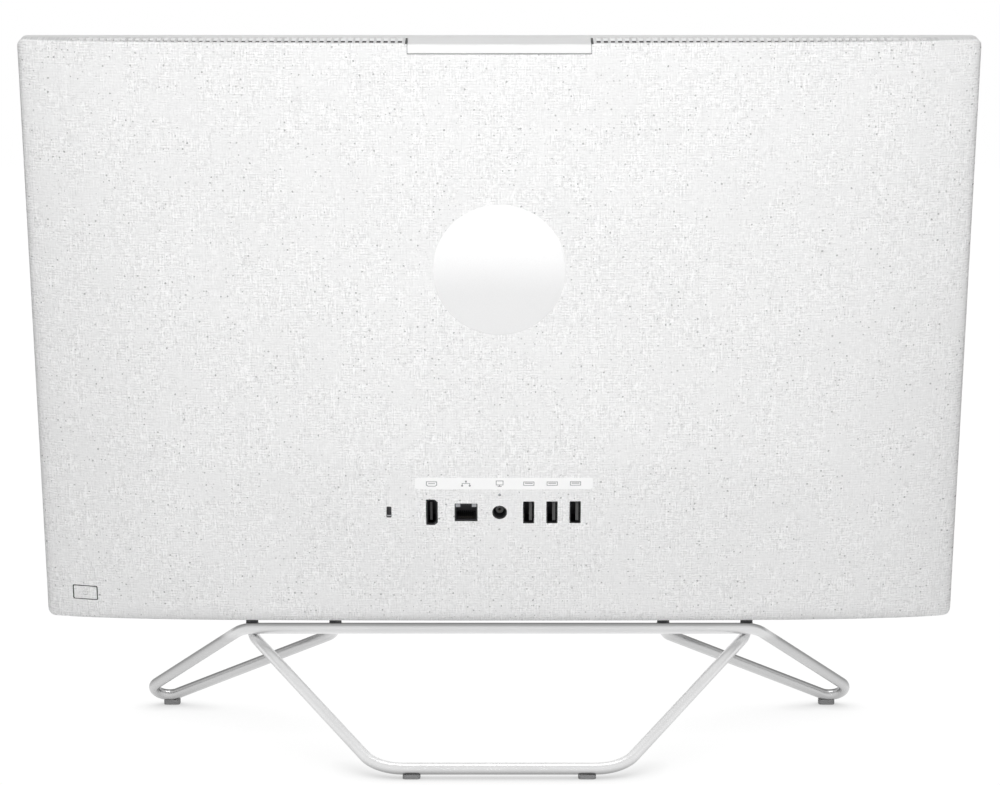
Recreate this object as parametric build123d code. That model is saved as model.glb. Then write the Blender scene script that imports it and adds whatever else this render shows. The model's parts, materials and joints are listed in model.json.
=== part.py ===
from build123d import *
import math
import os

# All-in-one computer: a flat display body with the computer inside, carried by two
# friction hinges on a stand bent from two steel rods.  Millimetres, +Z up, screen
# facing -Y, origin at the middle of the footprint on the table; "left" is +X.
#
# Body pieces are modelled upright (y = depth behind the screen face, z = height above
# the bottom edge), then leaned back.  Stand pieces only get the centring shift.

# ---- driving dimensions ----------------------------------------------------
BODY_W = 540.8
BODY_H = 349.5          # along the body's own plane
TILT = 12.5             # lean back, degrees
BODY_Z = 67.9           # height of the body's front bottom edge
SHIFT_Y = -54.3         # centres the footprint
FRAME_D = 7.5           # depth of the front frame
WALL = 2.2              # rear cover wall
LIP = 1.2               # front lip of the frame
SCREEN_W, SCREEN_H = 527.0, 296.5       # visible area
CHIN = BODY_H - (BODY_W - SCREEN_W) / 2 - SCREEN_H
R_TOP, R_BOTTOM, R_MIN = 5.0, 4.5, 1.5  # body corner radii, and the least when inset

ROD_D = 6.6             # stand rod
POST_IN, POST_OUT = 98.2, 148.1         # post positions either side
POST_Y = 11.2
POSTS_X = [side * x for side in (-1, 1) for x in (POST_IN, POST_OUT)]
POST_NOTCH_W = 8.0
PIVOT_Y, PIVOT_Z = 11.0, 10.0           # tilt axis in the body frame
BARREL_D = 11.6
PIN_D = 5.0

# Depth of the cover's rear surface at stations out from the middle, at four heights
STATION_X = [0, 60, 112, 168, 203, 230, 248, 262, 267, 269.6, 270.4]
DEPTH_TOP = [25.0, 24.6, 23.5, 22.0, 20.3, 18.4, 15.9, 13.4, 11.9, 10.1, 8.4]
DEPTH_RIDGE = [37.0, 36.3, 34.3, 30.3, 27.0, 22.8, 18.9, 14.9, 12.6, 10.3, 8.4]
DEPTH_LOW = [27.0, 26.7, 26.0, 24.4, 22.4, 19.6, 17.0, 13.8, 12.0, 10.1, 8.4]
DEPTH_BOTTOM = [20.4, 20.3, 20.1, 19.6, 18.6, 16.9, 15.0, 12.4, 11.0, 9.6, 8.4]
RIDGE_Z = 105.0         # soft ridge across the cover
LOW_Z = 12.0            # the bottom edge rounds off below this


# ---- helpers ---------------------------------------------------------------
def box(x0, x1, y0, y1, z0, z1):
    """Box between limits."""
    return Pos((x0 + x1) / 2, (y0 + y1) / 2, (z0 + z1) / 2) * Box(
        abs(x1 - x0), abs(y1 - y0), abs(z1 - z0))


def block(x, z, width, height, y0, y1):
    """Box centred on (x, z), running from y0 to y1."""
    return Pos(x, (y0 + y1) / 2, z) * Box(width, y1 - y0, height)


def cyl_y(x, z, diameter, y0, y1):
    return Pos(x, (y0 + y1) / 2, z) * Rot(90, 0, 0) * Cylinder(diameter / 2, y1 - y0)


def cyl_x(y, z, diameter, x0, x1):
    return Pos((x0 + x1) / 2, y, z) * Rot(0, 90, 0) * Cylinder(diameter / 2, x1 - x0)


def cyl_z(x, y, diameter, z0, z1):
    return Pos(x, y, (z0 + z1) / 2) * Cylinder(diameter / 2, z1 - z0)


def group(items):
    return Compound(children=list(items))


def mirror_x(shape):
    return shape.mirror(Plane.YZ)


def both(*items):
    """The items and their mirror images on the other side."""
    return group([*items, *[mirror_x(item) for item in items]])


def place_body(shape):
    return Pos(0, SHIFT_Y, BODY_Z) * Rot(-TILT, 0, 0) * shape


def place_stand(shape):
    return Pos(0, SHIFT_Y, 0) * shape


# ---- body surfaces ---------------------------------------------------------
def blend(row_a, row_b, fraction):
    return [a + (b - a) * fraction for a, b in zip(row_a, row_b)]


def depth_row(z):
    """Rear surface depths at the stations, at height z."""
    if z >= RIDGE_Z:
        return blend(DEPTH_RIDGE, DEPTH_TOP, (z - RIDGE_Z) / (BODY_H - RIDGE_Z))
    if z >= LOW_Z:
        return blend(DEPTH_LOW, DEPTH_RIDGE, (z - LOW_Z) / (RIDGE_Z - LOW_Z))
    return blend(DEPTH_BOTTOM, DEPTH_LOW, math.sqrt(1 - (1 - z / LOW_Z) ** 2))


def depth_at(x, z):
    row = depth_row(z)
    x = abs(x)
    for i in range(len(STATION_X) - 1):
        if x <= STATION_X[i + 1]:
            fraction = (x - STATION_X[i]) / (STATION_X[i + 1] - STATION_X[i])
            return row[i] + (row[i + 1] - row[i]) * fraction
    return row[-1]


def plan_section(z, profile_z, inset, front):
    """Face at z with a straight front edge and the bowed rear edge of profile_z."""
    scale = (BODY_W / 2 - inset) / (BODY_W / 2)
    half = [(x * scale, depth - inset) for x, depth in zip(STATION_X, depth_row(profile_z))]
    points = [(-x, y) for x, y in reversed(half)] + half[1:]
    rear = Spline(*[(x, y, z) for x, y in points])
    x_end, y_end = half[-1]
    return Face(Wire([
        Line((-x_end, front, z), (-x_end, y_end, z)),
        rear,
        Line((x_end, y_end, z), (x_end, front, z)),
        Line((x_end, front, z), (-x_end, front, z)),
    ]))


def rounded_slab(inset, y0, y1):
    """Rounded rectangle of the body seen from the front, as a slab."""
    half_w = BODY_W / 2 - inset
    slab = box(-half_w, half_w, y0, y1, inset, BODY_H - inset)
    bottom = slab.edges().filter_by(Axis.Y).sort_by(Axis.Z)[0:2]
    slab = fillet(bottom, max(R_BOTTOM - inset, R_MIN))
    top = slab.edges().filter_by(Axis.Y).group_by(Axis.Z)[-1]
    return fillet(top, max(R_TOP - inset, R_MIN))


def cover_outer():
    heights = [0.0, 1.2, 4.0, LOW_Z, RIDGE_Z, BODY_H]
    bowed = loft([plan_section(z, z, 0.0, FRAME_D) for z in heights], ruled=True)
    return bowed & rounded_slab(0.0, 0, 60)


def cover_cavity():
    # (height, how far below it the rear profile is taken)
    levels = [(WALL, 1.4), (4.0, 1.4), (7.0, 1.4), (14.0, 1.4),
              (RIDGE_Z, 0.0), (BODY_H - WALL, 0.0)]
    return loft([plan_section(z, z - drop, WALL, 5.0) for z, drop in levels], ruled=True)


OUTER = cover_outer()
CAVITY = cover_cavity()


def skin(tool, depth):
    """Part of the cover's outer skin inside the tool, to a given depth."""
    return (OUTER & tool) - (Pos(0, -depth, 0) * OUTER)


# ---- front frame and display -----------------------------------------------
BORDER_BACK = 1.6
PANEL_BACK = 3.4
PANEL_Z = 42.1          # bottom of the panel and its tray
GRILLE_X = 262.0        # half width
GRILLE_Z0, GRILLE_Z1 = 5.0, 40.0
GRILLE_GAP = 0.1


def screen_area(y0, y1):
    return box(-SCREEN_W / 2, SCREEN_W / 2, y0, y1, CHIN, CHIN + SCREEN_H)


def front_frame():
    frame = rounded_slab(0.0, 0.0, FRAME_D) - rounded_slab(2.0, LIP, FRAME_D + 1)
    frame -= screen_area(-1, LIP + 1)
    frame -= box(-GRILLE_X - GRILLE_GAP, GRILLE_X + GRILLE_GAP, -1, LIP + 1,
                 GRILLE_Z0 - GRILLE_GAP, GRILLE_Z1 + GRILLE_GAP)
    for x in POSTS_X:
        frame -= block(x, 0.8, POST_NOTCH_W, 3.6, 4.6, FRAME_D + 1)
    return frame


def screen_border():
    border = box(-266.6, 266.6, LIP, BORDER_BACK, CHIN - 4.0, CHIN + SCREEN_H + 3.0)
    return border - screen_area(0, 3)


def lcd_panel():
    return box(-267, 267, BORDER_BACK, PANEL_BACK, PANEL_Z, 346.3)


def backlight_tray():
    top, rim = 346.6, 1.0
    tray = box(-267.4, 267.4, PANEL_BACK, 6.9, PANEL_Z, top)
    return tray - box(-266.4, 266.4, 3.0, 6.1, PANEL_Z + rim, top - rim)


def chin_grille():
    grille = box(-GRILLE_X, GRILLE_X, 0.0, LIP, GRILLE_Z0, GRILLE_Z1)
    return grille + box(-264.5, 264.5, LIP, 2.2, 3, 41.8)


# ---- chassis plate ---------------------------------------------------------
PLATE_FRONT, PLATE_BACK = 7.6, 8.7
# (x0, x1, z0, z1)
PLATE_OPENINGS = [(-92, -68, 296, 304), (-40, 40, 226, 290),
                  (180, 240, 90, 180), (-240, -180, 90, 170)]
PLATE_RIBS = [(-250, -60, 57.0, 62.0), (60, 250, 312.0, 317.0)]


def chassis_plate():
    plate = box(-256, 256, PLATE_FRONT, PLATE_BACK, 46, 338)
    for side in (-1, 1):
        plate += box(side * 170, side * 76, PLATE_FRONT, PLATE_BACK, 19, 46)
    for x0, x1, z0, z1 in PLATE_OPENINGS:
        plate -= box(x0, x1, 7, 9, z0, z1)
    for x0, x1, z0, z1 in PLATE_RIBS:
        plate += box(x0, x1, PLATE_BACK, 9.4, z0, z1)
    return plate


# ---- rear cover ------------------------------------------------------------
PORT_Z = 74.4           # connector row
# name: (x, opening width, opening height)
PORTS = {
    "lock": (64.39, 3.0, 7.1),
    "video": (39.33, 6.9, 16.5),
    "net": (19.37, 13.4, 11.5),
    "usb1": (-17.14, 6.6, 14.2),
    "usb2": (-30.71, 6.6, 14.2),
    "usb3": (-44.24, 6.6, 14.2),
}
INLET_X = -0.18
GUIDE_Z = 85.8          # light guide above the power inlet
BUTTON_X, BUTTON_Z = 246.4, 17.1
BUTTON_W, BUTTON_H = 14.2, 8.4
BUTTON_GAP = 0.3
CAM_W = 101.8
CAM_Z = BODY_H - 5.3    # bottom of the webcam's visible part
CAM_GAP = 0.45
VENT_X, VENT_PITCH, VENT_COUNT, VENT_W = 55.4, 3.97, 47, 2.5


def port_opening(name, y0, y1):
    x, width, height = PORTS[name]
    return block(x, PORT_Z, width, height, y0, y1)


def port_label_strip():
    return skin(box(-54.4, 49.1, 20, 60, 89.3, 96.8), 0.3)


def badge_disc():
    return skin(cyl_y(0, 220.6, 76.0, 20, 60), 0.8)


def vent_slots():
    """Rows of slots in the top edge, either side of the webcam."""
    slots = []
    for side in (-1, 1):
        for i in range(VENT_COUNT):
            x = side * (VENT_X + i * VENT_PITCH)
            slots.append(box(x - VENT_W / 2, x + VENT_W / 2, 9.3, depth_at(x, BODY_H) - 2.5,
                             BODY_H - 3.4, BODY_H + 1))
    return slots


def rear_cover():
    cover = OUTER - CAVITY
    for name in PORTS:
        cover -= port_opening(name, 20, 45)
    cover -= cyl_y(INLET_X, PORT_Z, 8.7, 20, 45)
    guide_hole = extrude(Plane.XZ * RegularPolygon(0.95, 12), amount=12, both=True)
    cover -= Pos(INLET_X, 34.0, GUIDE_Z) * guide_hole
    cover -= block(BUTTON_X, BUTTON_Z, BUTTON_W + 2 * BUTTON_GAP,
                   BUTTON_H + 2 * BUTTON_GAP, 9, 30)
    for x in POSTS_X:
        cover -= block(x, 2.5, POST_NOTCH_W, 7, 5, 17.0)
    # webcam notch in the top edge
    cover -= box(-CAM_W / 2 - CAM_GAP, CAM_W / 2 + CAM_GAP, 5, 40, CAM_Z - CAM_GAP, BODY_H + 1)
    cover -= box(-45.4, 45.4, 5, 21.4, CAM_Z - 4, BODY_H + 1)
    cover = cover - vent_slots()
    return cover - port_label_strip() - badge_disc()


def dust_meshes():
    """Thin strips under the vent slots, following the cavity's rear wall."""
    strip = box(53.5, 249, 8.8, 40, 345.6, 346.5)
    return both((Pos(0, -0.4, -0.4) * CAVITY) & strip)


# ---- power button ----------------------------------------------------------
def power_button():
    cap = skin(block(BUTTON_X, BUTTON_Z, BUTTON_W, BUTTON_H, 5, 30), 2.6)
    stem_back = depth_at(BUTTON_X, BUTTON_Z) - 1.6
    return cap + block(BUTTON_X, BUTTON_Z, 5.0, 3.6, 12.4, stem_back)


def button_board():
    """Board with a switch body and its plunger."""
    board_back, switch_back = 9.9, 11.2
    board = box(BUTTON_X - 11, BUTTON_X + 9, PLATE_BACK, board_back,
                BUTTON_Z - 7.5, BUTTON_Z + 13)
    board += block(BUTTON_X, BUTTON_Z, 6, 6, board_back, switch_back)
    return board + cyl_y(BUTTON_X, BUTTON_Z, 2.6, switch_back, 11.5)


# ---- webcam module ---------------------------------------------------------
LENS_Z, LENS_D = 338.0, 6.2
LENS_BACK = 10.4
CAM_BOARD_FRONT = 13.4


def webcam_housing():
    housing = box(-CAM_W / 2, CAM_W / 2, 7.9, 27.0, CAM_Z, BODY_H)
    housing = fillet(housing.edges().filter_by(Axis.X).sort_by(Axis.Y)[-2:], 0.8)
    housing += box(-44.8, 44.8, 9.3, 20.8, 322.0, CAM_Z)
    housing -= box(-42.8, 42.8, 11.3, 18.8, 320.0, CAM_Z - 2)
    housing -= cyl_y(0, LENS_Z, LENS_D, 9, 12)
    for x in (-18, 18):
        housing -= cyl_y(x, LENS_Z, 1.0, 9, 12)
    return housing


def webcam_lens():
    return cyl_y(0, LENS_Z, LENS_D, 9.4, LENS_BACK)


def webcam_board():
    tube = cyl_y(0, LENS_Z, 5.8, LENS_BACK, CAM_BOARD_FRONT) - cyl_y(0, LENS_Z, 2.6, 10, 12.4)
    return box(-38, 38, CAM_BOARD_FRONT, 14.4, 332.5, 341.5) + tube


def webcam_guide():
    """Open-topped pocket that the webcam slides into."""
    guide = box(-48.0, 48.0, 8.8, 22.4, 300, 339) - box(-45.2, 45.2, 9.0, 21.2, 303.0, 340)
    return guide - box(-12, 12, 20, 25, 300, 316)


def push_latch():
    return box(-5, 5, 12, 18, 303.0, 316.5) + cyl_z(0, 15, 3.0, 316.5, 321.5)


# ---- system board ----------------------------------------------------------
BOARD_FRONT, BOARD_BACK = 14.0, 15.6
STANDOFFS = [(-85, 71), (-85, 205), (49, 51), (49, 205), (-22, 129)]    # (x, z)


def system_board():
    board = box(-92, 57, BOARD_FRONT, BOARD_BACK, 44, 214)
    board -= box(-93, -70, BOARD_FRONT - 1, BOARD_BACK + 1, 43, 62)
    for x, z in STANDOFFS:
        board -= cyl_y(x, z, 3.2, BOARD_FRONT - 1, BOARD_BACK + 1)
    return board


def board_standoffs():
    return group(cyl_y(x, z, 6.0, PLATE_BACK, BOARD_FRONT)
                 - cyl_y(x, z, 2.6, 10.0, BOARD_FRONT + 1) for x, z in STANDOFFS)


def board_screws():
    return group(cyl_y(x, z, 2.5, 10.6, BOARD_BACK)
                 + cyl_y(x, z, 5.6, BOARD_BACK, BOARD_BACK + 1.6)
                 - block(x, z, 1.8, 1.8, BOARD_BACK + 0.7, BOARD_BACK + 2)
                 for x, z in STANDOFFS)


# ---- connectors ------------------------------------------------------------
MOUTH_Y = 32.6          # connector mouths
CONTACT_Y0, CONTACT_Y1 = 21.0, 30.5
LOCK_X, VIDEO_X, NET_X = (PORTS[name][0] for name in ("lock", "video", "net"))
USB_X = [PORTS[name][0] for name in ("usb1", "usb2", "usb3")]


def video_profile(width, height, y0, y1, bevel):
    """Block with both corners on its -X side bevelled."""
    shape = block(VIDEO_X, PORT_Z, width, height, y0, y1)
    return chamfer(shape.edges().filter_by(Axis.Y).sort_by(Axis.X)[0:2], bevel)


def video_port_shell():
    return (video_profile(5.9, 15.2, BOARD_BACK, MOUTH_Y, 1.6)
            - video_profile(4.7, 14.0, 20, MOUTH_Y + 1, 1.4))


def network_jack():
    jack = block(NET_X, PORT_Z, 13.0, 11.0, BOARD_BACK, MOUTH_Y)
    jack -= box(NET_X - 5.85, NET_X + 5.85, 20.5, MOUTH_Y + 1, PORT_Z - 4.9, PORT_Z + 2.6)
    return jack - box(NET_X - 3.1, NET_X + 3.1, 20.5, MOUTH_Y + 1, PORT_Z + 2.5, PORT_Z + 4.3)


def power_inlet():
    return (cyl_y(INLET_X, PORT_Z, 8.3, BOARD_BACK, MOUTH_Y)
            - cyl_y(INLET_X, PORT_Z, 7.4, 21, MOUTH_Y + 1))


def port_contacts():
    """Eight network contacts and the pin of the power inlet."""
    contacts = [block(NET_X - 4.0 + i * 1.15, PORT_Z - 4.3, 0.4, 1.2, CONTACT_Y0, CONTACT_Y1)
                for i in range(8)]
    return group(contacts + [cyl_y(INLET_X, PORT_Z, 1.0, CONTACT_Y0, CONTACT_Y1)])


def light_guide():
    return cyl_y(INLET_X, GUIDE_Z, 1.4, BOARD_BACK, 34.6)


def usb_shells():
    return group(block(x, PORT_Z, 5.9, 13.4, BOARD_BACK, MOUTH_Y)
                 - block(x, PORT_Z, 5.1, 12.6, 20, MOUTH_Y + 1) for x in USB_X)


def port_tongues():
    height = 11.2
    video = block(VIDEO_X + 0.35, PORT_Z, 1.3, height, 20, MOUTH_Y - 1.6)
    return group([video] + [block(x - 1.1, PORT_Z, 1.8, height, 20, MOUTH_Y - 0.9)
                            for x in USB_X])


def port_shield():
    """Plate round the connectors, with a shelf below them to the board."""
    x0, x1, back, bottom = -52, 47, 29.6, PORT_Z - 11
    shield = box(x0, x1, 29.2, back, bottom, PORT_Z + 9.8)
    for name in PORTS:
        if name != "lock":
            shield -= port_opening(name, 29, 30)
    shield -= cyl_y(INLET_X, PORT_Z, 8.8, 29, 30)
    return shield + box(x0, x1, BOARD_BACK, back, bottom, bottom + 0.4)


def lock_plate():
    """Slotted plate joined to the chassis by a shelf and a flange."""
    x0, x1, back = 59.5, 70, 29.2
    plate = box(x0, x1, 27.4, back, PORT_Z - 9, PORT_Z + 9)
    plate -= block(LOCK_X, PORT_Z, 3.0, 7.0, 26, 30)
    plate += box(x0, x1, PLATE_BACK, back, PORT_Z - 10.5, PORT_Z - 9)
    return plate + box(x0, x1, PLATE_BACK, 10.2, PORT_Z - 26, PORT_Z - 10.5)


# ---- cooling ---------------------------------------------------------------
PROCESSOR_BACK = 17.6
COLD_PLATE_BACK = 20.2
PIPE_BACK, PIPE_W = 22.2, 8.0
PIPE_PATH = [(-40, 163), (30, 163), (64, 198), (64, 272), (81, 290), (145, 290)]    # (x, z)
FIN_BASE_Y = 10.6
BLOWER_X, BLOWER_Z = 120.0, 236.0
BLADES = 21


def processor():
    return box(-38, 0, BOARD_BACK, PROCESSOR_BACK, 142, 180)


def cold_plate():
    return box(-46, 8, PROCESSOR_BACK, COLD_PLATE_BACK, 134, 188)


def heat_pipe():
    """Flat pipe of straight runs with round joints."""
    y0, y1 = COLD_PLATE_BACK, PIPE_BACK
    pipe = None
    for (xa, za), (xb, zb) in zip(PIPE_PATH[:-1], PIPE_PATH[1:]):
        length = math.hypot(xb - xa, zb - za)
        angle = math.degrees(math.atan2(zb - za, xb - xa))
        middle = Pos((xa + xb) / 2, (y0 + y1) / 2, (za + zb) / 2)
        run = middle * Rot(0, -angle, 0) * Box(length, y1 - y0, PIPE_W)
        pipe = run if pipe is None else pipe + run
        pipe += cyl_y(xb, zb, PIPE_W, y0, y1)
        pipe += cyl_y(xa, za, PIPE_W, y0, y1)
    return pipe


def fin_stack():
    z0, z1 = 282, 295
    stack = box(83, 148, 9.8, FIN_BASE_Y, z0, z1)
    for i in range(25):
        x = 84 + 2.6 * i
        stack += box(x, x + 0.5, FIN_BASE_Y, COLD_PLATE_BACK, z0, z1)
    return stack


def blower_housing():
    inner_y0, inner_y1 = 10.8, 19.8
    housing = box(80, 160, 9.6, 21.0, 196, 281.5)
    housing -= cyl_y(BLOWER_X, BLOWER_Z, 76, inner_y0, inner_y1)
    housing -= box(86, 154, inner_y0, inner_y1, 260, 283)       # outlet
    return housing - cyl_y(BLOWER_X, BLOWER_Z, 44, 19, 22)      # inlet


def blower_impeller():
    impeller = cyl_y(BLOWER_X, BLOWER_Z, 26, 13.4, 18.6)
    for i in range(BLADES):
        spoke = Pos(BLOWER_X, 16.0, BLOWER_Z) * Rot(0, i * 360 / BLADES, 0) * Pos(23.5, 0, 0)
        impeller += spoke * Rot(0, 28, 0) * Box(24, 5.0, 0.9)
    return impeller - cyl_y(BLOWER_X, BLOWER_Z, 3.04, 12, 17.0)


def blower_spindle():
    return (cyl_y(BLOWER_X, BLOWER_Z, 8, 10.8, 13.2)
            + cyl_y(BLOWER_X, BLOWER_Z, 2.9, 13.2, 16.6))


# ---- cards, drives and speakers --------------------------------------------
MEMORY_X0, MEMORY_X1 = -84, -14
CARD_FRONT, CARD_BACK = 17.2, 18.0
CELL_X, CELL_Z, CELL_FRONT = 36, 134, 16.4


def memory_modules():
    return group(box(MEMORY_X0, MEMORY_X1, y, y + 1.2, 96, 122) for y in (18.0, 21.4))


def solid_state_drive():
    return (box(-10, 12, CARD_FRONT, CARD_BACK, 98, 124)
            + box(-8, 10, CARD_BACK, 19.6, 100, 118))


def radio_card():
    return (box(24, 46, CARD_FRONT, CARD_BACK, 178, 204)
            + box(26, 44, CARD_BACK, 19.4, 181, 198))


def antennas():
    return group(block(x, 333.8, 6.6, 7.6, 8.8, 9.8) for x in (-56.7, 56.7))


def coin_cell():
    return cyl_y(CELL_X, CELL_Z, 20.0, CELL_FRONT, 19.6)


def board_sockets():
    return group([
        box(MEMORY_X0, MEMORY_X1, BOARD_BACK, 23.6, 91, 95.9),
        cyl_y(CELL_X, CELL_Z, 22.6, BOARD_BACK, CELL_FRONT),
        box(-10, 12, BOARD_BACK, 18.6, 124.1, 128),
        box(24, 46, BOARD_BACK, 18.6, 204.1, 208),
    ])


def hard_drive():
    return box(-202, -102, 10.4, 17.4, 202, 271.8)


def drive_bracket():
    """Base plate with a flange up each side."""
    x0, x1, z0, z1, sheet = -206, -98, 198, 276, 1.2
    bracket = box(x0, x1, PLATE_BACK, PLATE_BACK + sheet, z0, z1)
    bracket += box(x0, x0 + sheet, PLATE_BACK, 16, z0, z1)
    return bracket + box(x1 - sheet, x1, PLATE_BACK, 16, z0, z1)


def driver_board():
    return box(-140, -50, 9.5, 10.6, 306, 322)


def display_cable():
    """Flat cable stepping back to the system board."""
    x0, x1, front, back = -90, -70, 10.8, 16.0
    cable = box(x0, x1, front, 11.1, 217, 314)
    cable += box(x0, x1, front, back, 216.7, 217.0)
    return cable + box(x0, x1, 15.7, back, 208, 217)


def speaker_left():
    return box(184, 232, 3.0, 12.6, 6.5, 36) - box(188, 228, 2, 4.6, 10, 32)


def speaker_right():
    return mirror_x(speaker_left())


def speaker_cones():
    return both(box(188.4, 227.6, 3.2, 4.4, 10.4, 31.6))


# ---- tilt hinges -----------------------------------------------------------
LUGS_X = [(76.5, 82.5), (163.5, 169.5)]
BRACKET_BACK = 10.2
PIN_GAP = 0.05          # radial running gap in the lugs
HINGE_SCREWS_X, HINGE_SCREW_Z = (92, 123, 154), 32
# Tilt axis in the stand frame; barrels, pins and washers stay with the stand
TILT_COS, TILT_SIN = math.cos(math.radians(TILT)), math.sin(math.radians(TILT))
AXIS_Y = PIVOT_Y * TILT_COS + PIVOT_Z * TILT_SIN
AXIS_Z = BODY_Z - PIVOT_Y * TILT_SIN + PIVOT_Z * TILT_COS


def hinge_bracket_left():
    bracket = box(76, 170, PLATE_BACK, BRACKET_BACK, 19.5, 45)
    for x0, x1 in LUGS_X:
        lug = box(x0, x1, PLATE_BACK, 16.8, 19.0, 40)
        lug += box(x0, x1, PIVOT_Y - BARREL_D / 2, PIVOT_Y + BARREL_D / 2, PIVOT_Z, 19.0)
        lug += cyl_x(PIVOT_Y, PIVOT_Z, BARREL_D, x0, x1)
        lug -= cyl_x(PIVOT_Y, PIVOT_Z, PIN_D + 2 * PIN_GAP, x0 - 1, x1 + 1)
        bracket += lug
    for x in HINGE_SCREWS_X:
        bracket -= cyl_y(x, HINGE_SCREW_Z, 4.2, 8, 11)
    return bracket


def hinge_bracket_right():
    return mirror_x(hinge_bracket_left())


def hinge_screw(x):
    head = (cyl_y(x, HINGE_SCREW_Z, 7.0, BRACKET_BACK, 12.2)
            - cyl_y(x, HINGE_SCREW_Z, 3.0, 11.0, 13))
    return cyl_y(x, HINGE_SCREW_Z, 3.9, 8.72, BRACKET_BACK) + head


def hinge_screws():
    return both(*[hinge_screw(x) for x in HINGE_SCREWS_X])


def hinge_barrel_left():
    barrel = cyl_x(AXIS_Y, AXIS_Z, BARREL_D, 84.6, 161.4)
    for x in (POST_IN, POST_OUT):
        barrel -= cyl_z(x, POST_Y, ROD_D + 0.1, 60, AXIS_Z + 3.7)
    for x0, x1 in ((84.0, 90.1), (155.9, 162.0)):
        barrel -= cyl_x(AXIS_Y, AXIS_Z, PIN_D + 0.02, x0, x1)
    return barrel


def hinge_barrel_right():
    return mirror_x(hinge_barrel_left())


def hinge_pins():
    return both(*[cyl_x(AXIS_Y, AXIS_Z, PIN_D, x0, x1)
                  for x0, x1 in ((75.5, 90.0), (156.0, 170.5))])


def friction_washers():
    return both(*[cyl_x(AXIS_Y, AXIS_Z, 10.6, x0, x1)
                  - cyl_x(AXIS_Y, AXIS_Z, PIN_D + 0.04, x0 - 1, x1 + 1)
                  for x0, x1 in ((82.9, 84.2), (161.8, 163.1))])


# ---- stand rods ------------------------------------------------------------
POST_TOP = AXIS_Z + 3.4
KNEE_R = 8.0            # bend at the foot of each post
# Front rod: a cross bar, and hairpin feet in a plane sloping forward and down from it.
# Places in that plane are (x, slope distance from the bar).
BAR_X, BAR_Y, BAR_Z, BAR_R = 153.2, 18.0, 58.7, 15.0
SLOPE_Y, SLOPE_Z = -0.73362, -0.67956
HAIRPIN_X, HAIRPIN_SLOPE, HAIRPIN_R = 204.17, 69.19, 8.51
FRONT_KNEE_SLOPE, FRONT_KNEE_Z = 9.269, 54.8
# Rear rod: its bar on the table and the bends at the bar's ends
REAR_X, REAR_Y, REAR_Z, REAR_R = 67.8, 148.8, 5.3, 25.0
REAR_KNEE_Z = 53.3


def corner(before, at, after, radius):
    """Start, middle and end of the arc that rounds the corner at `at`."""
    u, v = (before - at).normalized(), (after - at).normalized()
    angle = math.acos(u.dot(v))
    setback = radius / math.tan(angle / 2)
    middle = at + (u + v).normalized() * (radius / math.sin(angle / 2) - radius)
    return at + u * setback, middle, at + v * setback


def symmetric_rod(half):
    """Rod along 2-point lines and 3-point arcs, a link across x = 0, and their mirror."""
    def flip(point):
        return Vector(-point.X, point.Y, point.Z)

    end = half[-1][-1]
    flipped = [[flip(point) for point in reversed(run)] for run in reversed(half)]
    runs = half + [(end, flip(end))] + flipped
    path = Wire([Line(*run) if len(run) == 2 else ThreePointArc(*run) for run in runs])
    profile = Plane(origin=path @ 0, z_dir=path % 0) * Circle(ROD_D / 2)
    return sweep(profile, path=path)


def hairpin_tangent(x, slope, side):
    """Where the straight from (x, slope) touches the hairpin bend."""
    dx, dslope = HAIRPIN_X - x, HAIRPIN_SLOPE - slope
    distance = math.hypot(dx, dslope)
    angle = math.atan2(dslope, dx) + side * math.asin(HAIRPIN_R / distance)
    run = math.sqrt(distance ** 2 - HAIRPIN_R ** 2)
    return x + run * math.cos(angle), slope + run * math.sin(angle)


def hairpin():
    """Inner tangent point, tip and outer tangent point of the bend."""
    outer = hairpin_tangent(BAR_X, 0.0, -1)
    inner = hairpin_tangent(POST_IN, FRONT_KNEE_SLOPE, 1)
    dx = outer[0] + inner[0] - 2 * HAIRPIN_X
    dslope = outer[1] + inner[1] - 2 * HAIRPIN_SLOPE
    scale = HAIRPIN_R / math.hypot(dx, dslope)
    tip = (HAIRPIN_X + dx * scale, HAIRPIN_SLOPE + dslope * scale)
    return [Vector(x, BAR_Y + SLOPE_Y * slope, BAR_Z + SLOPE_Z * slope)
            for x, slope in (inner, tip, outer)]


def front_leg_rod():
    inner, tip, outer = hairpin()
    top = Vector(POST_IN, POST_Y, POST_TOP)
    knee = corner(top, Vector(POST_IN, POST_Y, FRONT_KNEE_Z), inner, KNEE_R)
    bar_end = corner(outer, Vector(BAR_X, BAR_Y, BAR_Z), Vector(0, BAR_Y, BAR_Z), BAR_R)
    return symmetric_rod([(top, knee[0]), knee, (knee[2], inner), (inner, tip, outer),
                          (outer, bar_end[0]), bar_end])


def rear_leg_rod():
    top = Vector(POST_OUT, POST_Y, POST_TOP)
    knee_at = Vector(POST_OUT, POST_Y, REAR_KNEE_Z)
    foot_at = Vector(REAR_X, REAR_Y, REAR_Z)
    knee = corner(top, knee_at, foot_at, KNEE_R)
    foot = corner(knee_at, foot_at, Vector(-REAR_X, REAR_Y, REAR_Z), REAR_R)
    return symmetric_rod([(top, knee[0]), knee, (knee[2], foot[0]), foot])


def foot_pad(x, y, height):
    """Oblong rubber foot under a rod."""
    pad = Pos(x, y, height / 2) * Box(9.8, 7.0, height)
    pad = fillet(pad.edges().filter_by(Axis.Z), 2.0)
    return fillet(pad.edges().group_by(Axis.Z)[0], 0.5)


def front_foot_pads():
    return both(foot_pad(202.6, -40.2, 3.2)) - front_leg_rod()


def rear_foot_pads():
    return both(foot_pad(48.5, REAR_Y, 2.5)) - rear_leg_rod()


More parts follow.
